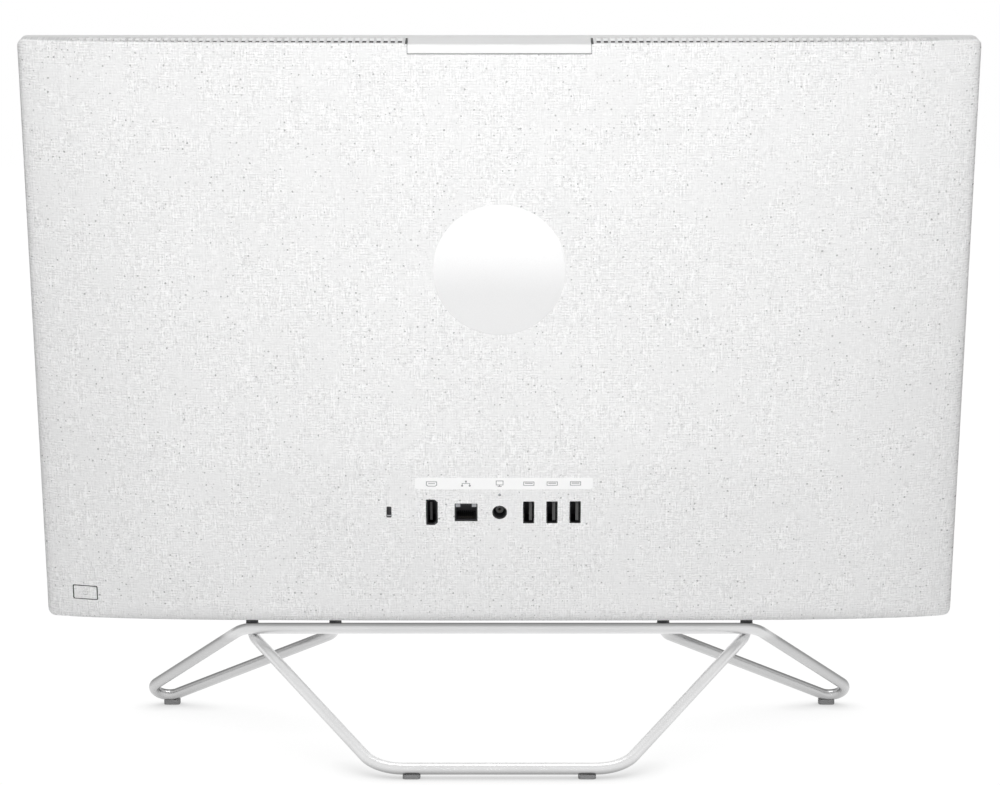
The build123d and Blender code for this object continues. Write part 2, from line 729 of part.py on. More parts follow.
# ---- export: each file takes its builder's name ------------------------------
BODY_PIECES = [
    front_frame, screen_border, lcd_panel, backlight_tray, chin_grille, chassis_plate,
    rear_cover, port_label_strip, badge_disc, dust_meshes, power_button, button_board,
    webcam_housing, webcam_lens, webcam_board, webcam_guide, push_latch,
    system_board, board_standoffs, board_screws, video_port_shell, network_jack,
    power_inlet, port_contacts, light_guide, usb_shells, port_tongues, port_shield,
    lock_plate, processor, cold_plate, heat_pipe, fin_stack, blower_housing,
    blower_impeller, blower_spindle, memory_modules, solid_state_drive, radio_card,
    antennas, coin_cell, board_sockets, hard_drive, drive_bracket, driver_board,
    display_cable, speaker_left, speaker_right, speaker_cones,
    hinge_bracket_left, hinge_bracket_right, hinge_screws,
]
STAND_PIECES = [
    hinge_barrel_left, hinge_barrel_right, hinge_pins, friction_washers,
    front_leg_rod, rear_leg_rod, front_foot_pads, rear_foot_pads,
]

os.makedirs("parts", exist_ok=True)
for place, pieces in ((place_body, BODY_PIECES), (place_stand, STAND_PIECES)):
    for build in pieces:
        export_step(place(build()), f"parts/{build.__name__}.step")
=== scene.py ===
# All-in-one computer on a stand of two bent steel rods: cover, trim, finishes, studio and camera.
# World: x across, y from the screen rearwards, z up. The display body leans back by TILT.
# Body frame: x across, y from the screen face rearwards, z up the panel from its lower edge.
# Stand frame: upright, moved with the body along y only. Both frames are in millimetres.
# "left" in the names is +x, as seen from behind.
import json
import math

import bpy
import bmesh
import numpy as np
from mathutils import Matrix, Vector

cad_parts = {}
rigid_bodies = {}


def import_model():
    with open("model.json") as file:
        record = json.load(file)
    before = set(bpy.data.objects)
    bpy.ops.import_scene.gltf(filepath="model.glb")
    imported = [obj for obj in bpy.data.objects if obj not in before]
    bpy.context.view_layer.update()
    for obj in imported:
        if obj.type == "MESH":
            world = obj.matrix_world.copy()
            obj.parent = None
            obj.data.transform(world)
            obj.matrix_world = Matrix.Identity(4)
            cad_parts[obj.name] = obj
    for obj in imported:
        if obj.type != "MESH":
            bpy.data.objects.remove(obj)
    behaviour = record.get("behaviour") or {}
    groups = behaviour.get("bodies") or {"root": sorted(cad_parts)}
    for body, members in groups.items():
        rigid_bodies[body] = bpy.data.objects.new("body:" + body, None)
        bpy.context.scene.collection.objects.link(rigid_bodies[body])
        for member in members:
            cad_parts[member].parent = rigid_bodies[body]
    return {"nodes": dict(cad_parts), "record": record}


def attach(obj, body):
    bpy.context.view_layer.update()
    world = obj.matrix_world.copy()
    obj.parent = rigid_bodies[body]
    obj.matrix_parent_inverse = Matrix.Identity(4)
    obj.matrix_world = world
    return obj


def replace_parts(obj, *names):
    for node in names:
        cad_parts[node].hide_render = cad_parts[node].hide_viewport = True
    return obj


for old in list(bpy.data.objects):
    bpy.data.objects.remove(old, do_unlink=True)
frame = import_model()
bpy.context.view_layer.update()

# ---------------------------------------------------------------------------
# driving dimensions, millimetres
# ---------------------------------------------------------------------------
MM = 0.001                       # metres in a millimetre
BODY_W, BODY_H = 540.8, 349.5
R_TOP, R_FOOT = 5.0, 4.5         # outline corner radii
RIM_DEPTH = 7.5                  # the front rim ends and the rear cover begins here
TILT = math.radians(12.5)
SHIFT_Y, BODY_Z = -54.3, 67.9    # the body's origin in the world
RIDGE_Z = 105.0                  # height of the rear ridge
LOWER_Z = 12.0                   # the cover rounds inwards below this
TOP_EDGE = 1.2                   # rounding along the cover's top edge
WALL = 2.2
PORT_Z = 74.4                    # centre line of the port row
BADGE_Z = 220.6
POST_IN, POST_OUT = 98.2, 148.1  # where the upright rod ends enter the body
POST_XS = [side * x for side in (-1, 1) for x in (POST_IN, POST_OUT)]

BODY_M = (Matrix.Translation((0, SHIFT_Y * MM, BODY_Z * MM))
          @ Matrix.Rotation(-TILT, 4, "X"))
STAND_M = Matrix.Translation((0, SHIFT_Y * MM, 0))

# Depth of the cover by distance from the middle:
# x, depth at the top edge, at the ridge, at LOWER_Z, at the lower edge
STATIONS = np.array([
    (0.0, 25.0, 37.0, 27.0, 18.7),
    (60.0, 24.6, 36.3, 26.7, 18.6),
    (112.0, 23.5, 34.3, 26.0, 18.4),
    (168.0, 22.0, 30.3, 24.4, 18.0),
    (203.0, 20.3, 27.0, 22.4, 17.1),
    (230.0, 18.4, 22.8, 19.6, 15.6),
    (248.0, 15.9, 18.9, 17.0, 14.2),
    (262.0, 13.4, 14.9, 13.8, 12.2),
    (267.0, 11.9, 12.6, 12.0, 11.0),
    (269.6, 10.1, 10.3, 10.1, 9.6),
    (270.4, 8.4, 8.4, 8.4, 8.4),
])
STATION_X, DEPTH_TOP, DEPTH_RIDGE, DEPTH_LOWER, DEPTH_FOOT = STATIONS.T


# ---------------------------------------------------------------------------
# shader nodes
# ---------------------------------------------------------------------------
class Value:
    """A node output that can be added, subtracted and multiplied."""

    def __init__(self, nodes, socket):
        self.nodes, self.socket = nodes, socket

    def __add__(self, other):
        return self.nodes.calc("ADD", self, other)

    def __radd__(self, other):
        return self.nodes.calc("ADD", other, self)

    def __sub__(self, other):
        return self.nodes.calc("SUBTRACT", self, other)

    def __mul__(self, other):
        return self.nodes.calc("MULTIPLY", self, other)


class Nodes:
    """Node tree of a material or world, emptied but for its output."""

    def __init__(self, owner, output_kind):
        owner.use_nodes = True
        self.tree = owner.node_tree
        for node in list(self.tree.nodes):
            self.tree.nodes.remove(node)
        self.output = self.node(output_kind)

    def node(self, kind, inputs=None, **props):
        node = self.tree.nodes.new(kind)
        for key, value in props.items():
            setattr(node, key, value)
        for key, value in (inputs or {}).items():
            self.put(node.inputs[key], value)
        return node

    def get(self, node, key=0):
        return Value(self, node.outputs[key])

    def put(self, socket, value):
        if isinstance(value, Value):
            self.tree.links.new(value.socket, socket)
            return
        if isinstance(value, (tuple, list)) and len(value) == 3 and socket.type == "RGBA":
            value = (*value, 1.0)
        socket.default_value = value

    def show(self, shader):
        self.put(self.output.inputs[0], shader)

    def position(self, scale=1 / MM):
        """Object coordinates, in millimetres unless scaled otherwise."""
        source = self.get(self.node("ShaderNodeTexCoord"), "Object")
        return self.get(self.node("ShaderNodeVectorMath", {0: source, "Scale": scale},
                                  operation="SCALE"))

    def split(self, vector):
        node = self.node("ShaderNodeSeparateXYZ", {0: vector})
        return [self.get(node, i) for i in range(3)]

    def join(self, x, y, z):
        return self.get(self.node("ShaderNodeCombineXYZ", {0: x, 1: y, 2: z}))

    def calc(self, operation, first, second=None):
        inputs = {0: first} if second is None else {0: first, 1: second}
        return self.get(self.node("ShaderNodeMath", inputs, operation=operation))

    def wave(self, value, pitch):
        return self.calc("SINE", value * (2 * math.pi / pitch))

    def ramp(self, value, span=(0.3, 0.7), to=(0.0, 1.0), smooth=True):
        """Map span onto to; the default span is the range that noise mostly fills."""
        inputs = dict(enumerate((value, *span, *to)))
        kind = "SMOOTHSTEP" if smooth else "LINEAR"
        return self.get(self.node("ShaderNodeMapRange", inputs, interpolation_type=kind))

    def noise(self, vector, scale, detail=2.0, rough=0.5, output=0):
        return self.get(self.node("ShaderNodeTexNoise", {
            "Vector": vector, "Scale": scale, "Detail": detail, "Roughness": rough}), output)

    def cells(self, vector, scale):
        return self.node("ShaderNodeTexVoronoi", {"Vector": vector, "Scale": scale},
                         voronoi_dimensions="2D")

    def mix(self, factor, first, second, blend="MIX"):
        return self.get(self.node("ShaderNodeMix", {0: factor, 6: first, 7: second},
                                  data_type="RGBA", blend_type=blend), 2)

    def grey(self, tone):
        return self.join(tone, tone, tone)

    def tint(self, color, tone):
        return self.mix(1.0, color, self.grey(tone), blend="MULTIPLY")

    def bump(self, height, strength, mm, under=None):
        inputs = {"Strength": strength, "Distance": mm * MM, "Height": height}
        if under is not None:
            inputs["Normal"] = under
        return self.get(self.node("ShaderNodeBump", inputs))

    def glow(self, strength, color=(1.0, 1.0, 1.0), kind="ShaderNodeEmission"):
        return self.get(self.node(kind, {0: color, 1: strength}))

    def choose(self, factor, shader_0, shader_1):
        return self.get(self.node("ShaderNodeMixShader", {0: factor, 1: shader_0, 2: shader_1}))


class Paint(Nodes):
    """A new material with one principled shader."""
    INPUTS = {"color": "Base Color", "rough": "Roughness", "metal": "Metallic",
              "normal": "Normal", "coat": "Coat Weight", "coat_rough": "Coat Roughness",
              "sheen": "Sheen Weight", "spec": "Specular IOR Level"}

    def __init__(self, name):
        self.material = bpy.data.materials.new(name)
        super().__init__(self.material, "ShaderNodeOutputMaterial")
        self.principled = self.node("ShaderNodeBsdfPrincipled")
        self.surface = self.get(self.principled)
        self.show(self.surface)

    def set(self, **values):
        for key, value in values.items():
            self.put(self.principled.inputs[self.INPUTS[key]], value)
        return self.material


# ---------------------------------------------------------------------------
# woven white of the cover and chin
# ---------------------------------------------------------------------------
def weave_height(paint, x, z):
    """Linen-like threads: mostly level dashes, patches of upright ones, and quiet areas."""
    def field(scale, stretch=(1, 1), layer=0.0, rough=0.5):
        """Noise over x and z; each layer is a separate slice of it."""
        across, along = (v if k == 1 else v * k for v, k in zip((x, z), stretch))
        return paint.noise(paint.join(across, layer, along), scale=scale, detail=1.0, rough=rough)

    def swing(noise, size):
        return (noise - 0.5) * size

    level_long = field(scale=1.50, stretch=(0.150, 1), rough=0.55)
    level_short = field(scale=2.10, stretch=(0.50, 1), layer=9.3)
    upright = field(scale=1.50, stretch=(1, 0.22), layer=3.7, rough=0.55)
    level_area = paint.ramp(field(scale=0.085, stretch=(1, 1.5)),
                            span=(0.36, 0.60), to=(0.45, 1.0))
    upright_area = paint.ramp(field(scale=0.10, layer=21.0), span=(0.42, 0.62), to=(0.20, 1.0))
    quiet = paint.ramp(field(scale=0.055, layer=47.0), span=(0.34, 0.52), to=(0.45, 1.0))

    # regular rows and columns, wavering and broken into dashes
    waver = field(scale=1.0, stretch=(0.30, 0.30), layer=5.0)
    rows = paint.wave(z + swing(waver, size=0.9), pitch=1.62)
    columns = paint.wave(x + swing(waver, size=0.9), pitch=1.66)
    row_dash = paint.ramp(field(scale=1.0, stretch=(0.20, 0.50), layer=77.0), span=(0.46, 0.60))
    column_dash = paint.ramp(field(scale=1.0, stretch=(0.50, 0.24), layer=91.0),
                             span=(0.50, 0.62))
    grid_height = 0.30
    grid = rows * (row_dash * grid_height) + columns * (column_dash * grid_height)

    level = (swing(level_long, size=1.5) + swing(level_short, size=1.3)) * level_area
    return (level + swing(upright, size=1.8) * upright_area + grid) * quiet + 0.5


def speck_mask(paint, flat, cell, radii, keep, cluster):
    """Round specks, one or none per cell, gathered in clusters; also a random value for each."""
    edge = 0.12
    cells = paint.cells(flat, scale=1.0 / cell)
    size, chance, shade = paint.split(paint.get(cells, "Color"))
    distance = paint.get(cells, "Distance") * cell
    radius = radii[0] + size * (radii[1] - radii[0])
    inside = paint.ramp(distance - radius, span=(-edge, edge), to=(1.0, 0.0))
    return inside * paint.calc("LESS_THAN", chance, cluster * keep), shade


# offset of the cells, cell mm, radii mm, share kept, tone range (None: plain light), weight
SPECKS = [
    (None, 3.9, (0.22, 0.58), 0.62, (0.30, 0.70), 0.85),
    ((31.7, 17.3), 3.1, (0.16, 0.40), 0.45, (0.52, 0.76), 0.7),
    ((-53.1, 71.9), 3.6, (0.25, 0.60), 0.6, None, 0.8),
]
LIGHT_SPECK = (0.95, 0.95, 0.95)


def paint_opening_shade(paint, color, x, y, z):
    """Painted shade inside the slots, gaps and port windows; a painted highlight on the lips at
    the vent mouths.
    """
    normal = paint.get(paint.node("ShaderNodeTexCoord"), "Normal")
    wall = paint.ramp(paint.split(normal)[1], span=(0.62, 0.72), to=(1.0, 0.0))
    side = paint.calc("ABSOLUTE", x)

    def band(value, low, high, soft=0.05):
        return (paint.ramp(value, span=(low - soft, low + soft))
                * paint.ramp(value, span=(high - soft, high + soft), to=(1.0, 0.0)))

    def zone(*bands):
        mask = wall
        for part in bands:
            mask = mask * part
        return mask

    vents = band(side, 53.0, 243.5)
    top = BODY_H
    vent_depth_painted_shade = zone(vents, band(z, top - 4.6, top - 1.15, soft=0.20))
    vent_lip_painted_highlight = zone(vents, band(z, top - 1.15, top - 0.10), band(y, 9.2, 14.0))
    webcam_notch_painted_shade = zone(band(side, -1.0, 52.4), band(z, top - 6.6, top + 1.0),
                        band(y, 9.0, 60.0))
    # painted shade in the gap round the button and inside the port windows
    button = zone(band(x, 237.5, 255.0), band(z, 11.3, 23.0), band(y, 8.0, 60.0))
    ports = zone(band(x, -49.5, 67.5), band(z, PORT_Z - 9.5, PORT_Z + 12.0), band(y, 8.0, 60.0))
    # painted highlight on the vent lips; painted shade in the vent depths, webcam notch, button
    # gap and port windows
    for mask, tone in ((vent_lip_painted_highlight, 0.98), (vent_depth_painted_shade, 0.012), (webcam_notch_painted_shade, 0.05),
                       (button, 0.10), (ports, 0.012)):
        color = paint.mix(mask, color, (tone, tone, tone))
    return color


def painted_reflection_board(paint, level, underside_shade):
    """Painted reflection: glossy rays see the cover as an evenly bright glowing board, with
    painted shade on its underside.
    """
    glossy = paint.get(paint.node("ShaderNodeLightPath"), "Is Glossy Ray")
    normal = paint.get(paint.node("ShaderNodeNewGeometry"), "Normal")
    board = paint.glow(paint.ramp(paint.split(normal)[2], span=(-0.80, -0.30),
                                  to=(underside_shade, level)))
    paint.show(paint.choose(glossy, paint.surface, board))


def woven_white():
    paint = Paint("cover_white")
    pos = paint.position()
    x, y, z = paint.split(pos)
    weave = weave_height(paint, x, z)
    tone = paint.ramp(weave, span=(0.0, 1.0), to=(0.82, 1.135), smooth=False)
    tone = tone * paint.ramp(paint.noise(pos, scale=0.012), to=(0.99, 1.01))
    color = paint.tint((0.86, 0.86, 0.86), tone)

    # specks with slightly warped outlines
    warp_mm = (1.1, 0.7)
    warp = paint.split(paint.noise(pos, scale=1.3, output="Color"))
    warped_x = x + (warp[0] - 0.5) * warp_mm[0]
    warped_z = z + (warp[1] - 0.5) * warp_mm[1]
    flat = paint.join(warped_x, warped_z, 0.0)
    cluster = paint.ramp(paint.noise(flat, scale=0.075), span=(0.38, 0.66), to=(0.15, 1.0))
    for offset, cell, radii, keep, tones, weight in SPECKS:
        if offset:
            flat = paint.join(warped_x + offset[0], warped_z + offset[1], 0.0)
        mask, shade = speck_mask(paint, flat, cell, radii, keep, cluster)
        speck = LIGHT_SPECK
        if tones:
            speck = paint.grey(paint.ramp(shade, span=(0.0, 1.0), to=tones, smooth=False))
        color = paint.mix(mask * weight, color, speck)

    # painted shade inside the openings and a painted highlight at the vent mouths
    color = paint_opening_shade(paint, color, x, y, z)
    base_rough, rough_drift = 0.46, 0.16
    rough = base_rough + paint.noise(pos, scale=0.9) * rough_drift
    grain = paint.bump(paint.noise(pos, scale=3.2, rough=0.6), strength=0.12, mm=0.03)
    normal = paint.bump(weave, strength=0.40, mm=0.10, under=grain)
    material = paint.set(color=color, rough=rough, normal=normal, spec=0.35)
    # glossy rays see a painted reflection of the cover, with painted shade on its underside
    painted_reflection_board(paint, level=0.92, underside_shade=0.50)
    return material


# ---------------------------------------------------------------------------
# other finishes
# ---------------------------------------------------------------------------
def grained(name, base, rough, grain_mm, bump_mm, strength, amp, spec, metal):
    """Slow tone drift of size amp, fine moulded or sprayed grain, uneven gloss."""
    paint = Paint(name)
    pos = paint.position()
    slow = paint.noise(pos, scale=0.03, detail=3.0, rough=0.55)
    fine = paint.noise(pos, scale=1.0 / grain_mm, rough=0.6)
    color = paint.tint(base, paint.ramp(slow, to=(1.0 - amp, 1.0 + amp)))
    color = paint.tint(color, paint.ramp(fine, span=(0.35, 0.65),
                                         to=(1.0 - amp * 0.6, 1.0 + amp * 0.4)))
    rough_drift = 0.10
    gloss = (rough - rough_drift / 2) + paint.noise(pos, scale=0.12, detail=3.0) * rough_drift
    return paint.set(color=color, rough=gloss, metal=metal, spec=spec,
                     normal=paint.bump(fine, strength=strength, mm=bump_mm))


def brushed(name, base, rough, axis):
    """Metal with fine lines drawn along one axis (0 is x, 2 is z)."""
    paint = Paint(name)
    stretch = [1.6, 1.6, 1.6]
    stretch[axis] = 0.03
    coords = paint.split(paint.position())
    lines = paint.noise(paint.join(*(v * k for v, k in zip(coords, stretch))),
                        scale=3.0, detail=3.0, rough=0.65)
    rough_low, rough_drift = rough - 0.06, 0.14
    return paint.set(color=paint.tint(base, paint.ramp(lines, to=(0.95, 1.05))),
                     rough=rough_low + lines * rough_drift, metal=1.0,
                     normal=paint.bump(lines, strength=0.2, mm=0.02))


def satin_rod_painted_shade(name, zone, below, above, facing_tones=None):
    """Silver powder finish on drawn steel, with painted shade: its tone follows the upward tilt
    of the surface.

    Below and above the height zone the painted shade has its own ramp. With facing_tones (below,
    above) those ramps only show where the surface turns away from the eye, as a painted dark rim.
    """
    paint = Paint(name)
    pos = paint.position()
    flake_drift = 0.03
    slow = paint.noise(pos, scale=0.02, detail=3.0)
    flake = paint.noise(pos, scale=1.1)
    tone = paint.ramp(slow, to=(0.97, 1.02)) + (flake - 0.5) * flake_drift
    # painted shade: the tone ramps with the upward tilt of the surface normal
    normal = paint.get(paint.node("ShaderNodeNewGeometry"), "Normal")
    upward = paint.split(normal)[2]
    height = paint.ramp(paint.split(pos)[2], span=zone)
    low = paint.ramp(upward, smooth=False, **below)
    high = paint.ramp(upward, smooth=False, **above)
    if facing_tones:
        facing = paint.get(paint.node("ShaderNodeLayerWeight", {"Blend": 0.5}), "Facing")
        rim = paint.ramp(facing, span=(0.15, 0.55))
        low, high = (plain + rim * (shade - plain)
                     for plain, shade in zip(facing_tones, (low, high)))
    tone = tone * (low + height * (high - low))
    base_rough, rough_drift = 0.27, 0.08
    return paint.set(color=paint.tint((0.82, 0.82, 0.822), tone), metal=0.92,
                     rough=base_rough + paint.noise(pos, scale=0.35) * rough_drift,
                     normal=paint.bump(paint.noise(pos, scale=0.9), strength=0.03, mm=0.01))


def circuit_board(name, base):
    """Solder-masked board: copper tracks under the mask, pads and vias."""
    paint = Paint(name)
    pos = paint.position()
    x, y, z = paint.split(pos)
    tracks = paint.node("ShaderNodeTexBrick", {
        "Vector": paint.join(x, z, 0.0), "Scale": 0.32, "Mortar Size": 0.035,
        "Color1": (1, 1, 1, 1), "Color2": (0.8, 0.8, 0.8, 1), "Mortar": (0.35, 0.35, 0.35, 1)})
    track_gain, track_share, via_radius = 1.7, 0.5, 0.12
    area = paint.calc("GREATER_THAN", paint.noise(pos, scale=0.06), track_share)
    tracked = paint.mix(1.0, [c * track_gain for c in base], paint.get(tracks),
                        blend="MULTIPLY")
    color = paint.mix(area, base, tracked)
    cells = paint.cells(paint.join(x, z, 0.0), scale=0.33)
    via = paint.calc("LESS_THAN", paint.get(cells, "Distance"), via_radius)
    return paint.set(color=paint.mix(via, color, (0.62, 0.52, 0.30)), spec=0.6,
                     rough=paint.ramp(paint.noise(pos, scale=0.4), to=(0.28, 0.42)),
                     normal=paint.bump(paint.get(tracks, 1), strength=0.2, mm=0.03))


def cloth(name, base, pitch):
    paint = Paint(name)
    x, y, z = paint.split(paint.position())
    knit = paint.wave(x, pitch) * paint.wave(z, pitch)
    tone = paint.ramp(knit, span=(-1, 1), to=(0.7, 1.1), smooth=False)
    return paint.set(color=paint.tint(base, tone), rough=0.9, sheen=0.15,
                     normal=paint.bump(knit, strength=0.5, mm=0.12))


def rubber(name, base):
    """Matt rubber with patches of grey dust."""
    paint = Paint(name)
    pos = paint.position()
    grain = paint.noise(pos, scale=2.2, detail=3.0, rough=0.6)
    dust = paint.ramp(paint.noise(pos, scale=0.35), span=(0.5, 0.75), to=(0.0, 0.35))
    return paint.set(color=paint.mix(dust, base, (0.30, 0.30, 0.30)), spec=0.3,
                     rough=paint.ramp(grain, to=(0.62, 0.82)),
                     normal=paint.bump(grain, strength=0.12, mm=0.03))


def screen_surface():
    """Switched-off anti-glare panel: near black, faint pixel grid, micro-rough front film."""
    paint = Paint("screen")
    pos = paint.position()
    x, y, z = paint.split(pos)
    dots = paint.wave(x, pitch=0.55) * paint.wave(z, pitch=0.55)
    tone = paint.ramp(dots, span=(-1, 1), to=(0.85, 1.15), smooth=False)
    tone = tone * paint.ramp(paint.noise(pos, scale=0.008), to=(0.9, 1.15))
    grain = paint.noise(pos, scale=6.0, rough=0.6)
    return paint.set(color=paint.tint((0.010, 0.011, 0.014), tone), spec=0.55, coat=0.15,
                     coat_rough=0.25, rough=paint.ramp(grain, to=(0.20, 0.30)),
                     normal=paint.bump(grain, strength=0.08, mm=0.01))


def glass(name, base, rough):
    paint = Paint(name)
    smear = paint.noise(paint.position(), scale=1.5)
    return paint.set(color=base, rough=paint.ramp(smear, to=(rough, rough + 0.05)),
                     normal=paint.bump(smear, strength=0.03, mm=0.005),
                     coat=1.0, coat_rough=0.03, spec=0.8)


def tongue_material():
    """Moulded connector tongues: grey in the data ports, nearly black in the video port."""
    paint = Paint("tongue_grey")
    pos = paint.position()
    tone = paint.ramp(paint.split(pos)[0], span=(29.5, 30.5), to=(0.060, 0.016))
    grain = paint.ramp(paint.noise(pos, scale=3.0, rough=0.6), to=(0.88, 1.12))
    return paint.set(color=paint.grey(tone * grain),
                     rough=paint.ramp(paint.noise(pos, scale=0.8), to=(0.38, 0.48)),
                     normal=paint.bump(grain, strength=0.2, mm=0.02))


def badge_material():
    """Pearl lacquer on a turned disc, with a painted sheen: lighter at the top, fading evenly to
    darker at the bottom of its face.
    """
    paint = Paint("badge_plain")
    pos = paint.position()
    x, y, z = paint.split(pos)
    rise = z - BADGE_Z
    low = paint.ramp(rise, span=(-16.0, 14.0), to=(1.0, 0.0))
    grooves = paint.wave(paint.calc("SQRT", x * x + rise * rise), pitch=0.35)
    flake = paint.noise(pos, scale=1.4, detail=3.0, rough=0.6)
    groove_tone = 0.006
    tone = paint.ramp(flake, to=(0.985, 1.01)) + grooves * groove_tone
    # painted sheen: lighter at the top of the disc, darker towards its bottom
    color = paint.mix(low, (0.95, 0.95, 0.953), (0.80, 0.80, 0.803))
    return paint.set(color=paint.tint(color, tone), metal=0.12, coat=0.5, coat_rough=0.08,
                     rough=paint.ramp(flake, to=(0.16, 0.26)),
                     normal=paint.bump(grooves, strength=0.06, mm=0.01))


# name, colour, roughness, grain mm, bump mm, bump strength, tone drift, specular, metallic
GRAINED = [
    ("cam_white", (0.88, 0.88, 0.88), 0.42, 0.5, 0.012, 0.15, 0.012, 0.4, 0.0),
    ("frame_paint", (0.84, 0.84, 0.838), 0.40, 0.4, 0.012, 0.18, 0.015, 0.4, 0.0),
    ("label_white", (0.975, 0.975, 0.975), 0.38, 0.6, 0.006, 0.1, 0.008, 0.5, 0.0),
    ("black_plastic", (0.022, 0.022, 0.024), 0.45, 0.3, 0.02, 0.3, 0.15, 0.5, 0.0),
    ("impeller_black", (0.03, 0.03, 0.033), 0.5, 0.3, 0.02, 0.3, 0.15, 0.5, 0.0),
    ("black_mask", (0.012, 0.012, 0.014), 0.25, 0.5, 0.01, 0.15, 0.1, 0.5, 0.0),
    ("cable_film", (0.05, 0.05, 0.055), 0.35, 0.4, 0.01, 0.2, 0.08, 0.5, 0.0),
    ("faint_grey", (0.60, 0.60, 0.60), 0.5, 0.3, 0.006, 0.1, 0.05, 0.5, 0.0),
    ("icon_grey", (0.30, 0.30, 0.31), 0.5, 0.3, 0.006, 0.1, 0.05, 0.5, 0.0),
    ("pin_steel", (0.36, 0.36, 0.38), 0.25, 0.4, 0.015, 0.2, 0.05, 0.5, 1.0),
    # port_steel is far darker than bare steel: painted shade inside the port windows
    ("port_steel", (0.035, 0.035, 0.037), 0.42, 0.4, 0.015, 0.2, 0.05, 0.5, 1.0),
    ("zinc_screws", (0.68, 0.69, 0.72), 0.3, 0.4, 0.015, 0.2, 0.05, 0.5, 1.0),
    ("brass_parts", (0.72, 0.56, 0.28), 0.3, 0.4, 0.015, 0.2, 0.05, 0.5, 1.0),
    # gold_contacts is far darker than bare gold: painted shade inside the ports
    ("gold_contacts", (0.055, 0.048, 0.036), 0.34, 0.4, 0.015, 0.2, 0.05, 0.5, 1.0),
    ("copper", (0.76, 0.42, 0.28), 0.28, 0.5, 0.015, 0.2, 0.08, 0.5, 1.0),
    ("drive_alu", (0.62, 0.63, 0.64), 0.4, 0.5, 0.015, 0.2, 0.05, 0.5, 1.0),
    ("antenna_foil", (0.74, 0.57, 0.35), 0.3, 0.4, 0.015, 0.2, 0.05, 0.5, 1.0),
]
# name, colour, roughness, axis of the lines
BRUSHED = [
    ("tray_steel", (0.60, 0.61, 0.62), 0.36, 0),
    ("hinge_steel", (0.42, 0.43, 0.44), 0.38, 0),
    ("fin_alu", (0.78, 0.78, 0.79), 0.32, 2),
    ("chip_metal", (0.70, 0.70, 0.71), 0.3, 0),
]
FINISH = {"cover_white": woven_white()}
FINISH["woven_white"] = FINISH["cover_white"]
# front rod: painted shade darkens the sides that face upward; rear rod: painted shade darkens the
# sides that face downward
FINISH["rod_silver"] = satin_rod_painted_shade(
    "rod_silver", zone=(50.0, 56.0), facing_tones=(0.72, 0.88),
    below=dict(span=(-0.30, 0.95), to=(0.78, 0.12)),
    above=dict(span=(0.30, 0.90), to=(1.0, 0.44)))
FINISH["rod_rear"] = satin_rod_painted_shade(
    "rod_silver_rear_painted_shade", zone=(11.0, 22.0),
    below=dict(span=(-0.90, 0.50), to=(0.55, 1.02)),
    above=dict(span=(-0.25, 0.12), to=(0.85, 1.00)))
for row in GRAINED:
    FINISH[row[0]] = grained(*row)
for row in BRUSHED:
    FINISH[row[0]] = brushed(*row)
FINISH["rubber_grey"] = rubber("rubber_grey", base=(0.22, 0.22, 0.222))
FINISH["post_sleeve"] = rubber("post_sleeve", base=(0.075, 0.075, 0.078))
FINISH["tongue_grey"] = tongue_material()
FINISH["pcb_green"] = circuit_board("pcb_green", base=(0.018, 0.11, 0.05))
FINISH["pcb_blue"] = circuit_board("pcb_blue", base=(0.012, 0.035, 0.10))
FINISH["mesh_black"] = cloth("mesh_black", base=(0.04, 0.04, 0.04), pitch=1.0)
FINISH["cone_black"] = cloth("cone_black", base=(0.05, 0.05, 0.05), pitch=1.4)
FINISH["screen"] = screen_surface()
FINISH["lens_glass"] = glass("lens_glass", base=(0.012, 0.014, 0.022), rough=0.03)
FINISH["clear_guide"] = glass("clear_guide", base=(0.35, 0.36, 0.38), rough=0.1)
FINISH["badge_plain"] = badge_material()


# ---------------------------------------------------------------------------
# mesh helpers; a shape is a pair (vertices in mm, faces)
# ---------------------------------------------------------------------------
def in_metres(verts):
    return [(x * MM, y * MM, z * MM) for x, y, z in verts]


def smooth_shade(mesh, sharp):
    mesh.polygons.foreach_set("use_smooth", [True] * len(mesh.polygons))
    mesh.set_sharp_from_angle(angle=math.radians(sharp))
    mesh.update()


def face_outwards(mesh):
    work = bmesh.new()
    work.from_mesh(mesh)
    bmesh.ops.recalc_face_normals(work, faces=work.faces)
    work.to_mesh(mesh)
    work.free()
    mesh.update()


def make(name, shape, finish, body=None, sharp=32.0, recalc=True):
    """Object in the stand frame for the stand, otherwise in the body frame."""
    verts, faces = shape
    mesh = bpy.data.meshes.new(name)
    mesh.from_pydata(in_metres(verts), [], faces)
    mesh.validate()
    mesh.materials.append(FINISH[finish])
    obj = bpy.data.objects.new(name, mesh)
    bpy.context.scene.collection.objects.link(obj)
    obj.matrix_world = STAND_M if body == "stand" else BODY_M
    # sharp edges are marked from the faces as built, before they are turned outwards
    smooth_shade(mesh, sharp)
    if recalc:
        face_outwards(mesh)
    if body:
        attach(obj, body)
    return obj


def merge(shapes):
    verts, faces = [], []
    for more_verts, more_faces in shapes:
        start = len(verts)
        verts += more_verts
        faces += [tuple(i + start for i in face) for face in more_faces]
    return verts, faces


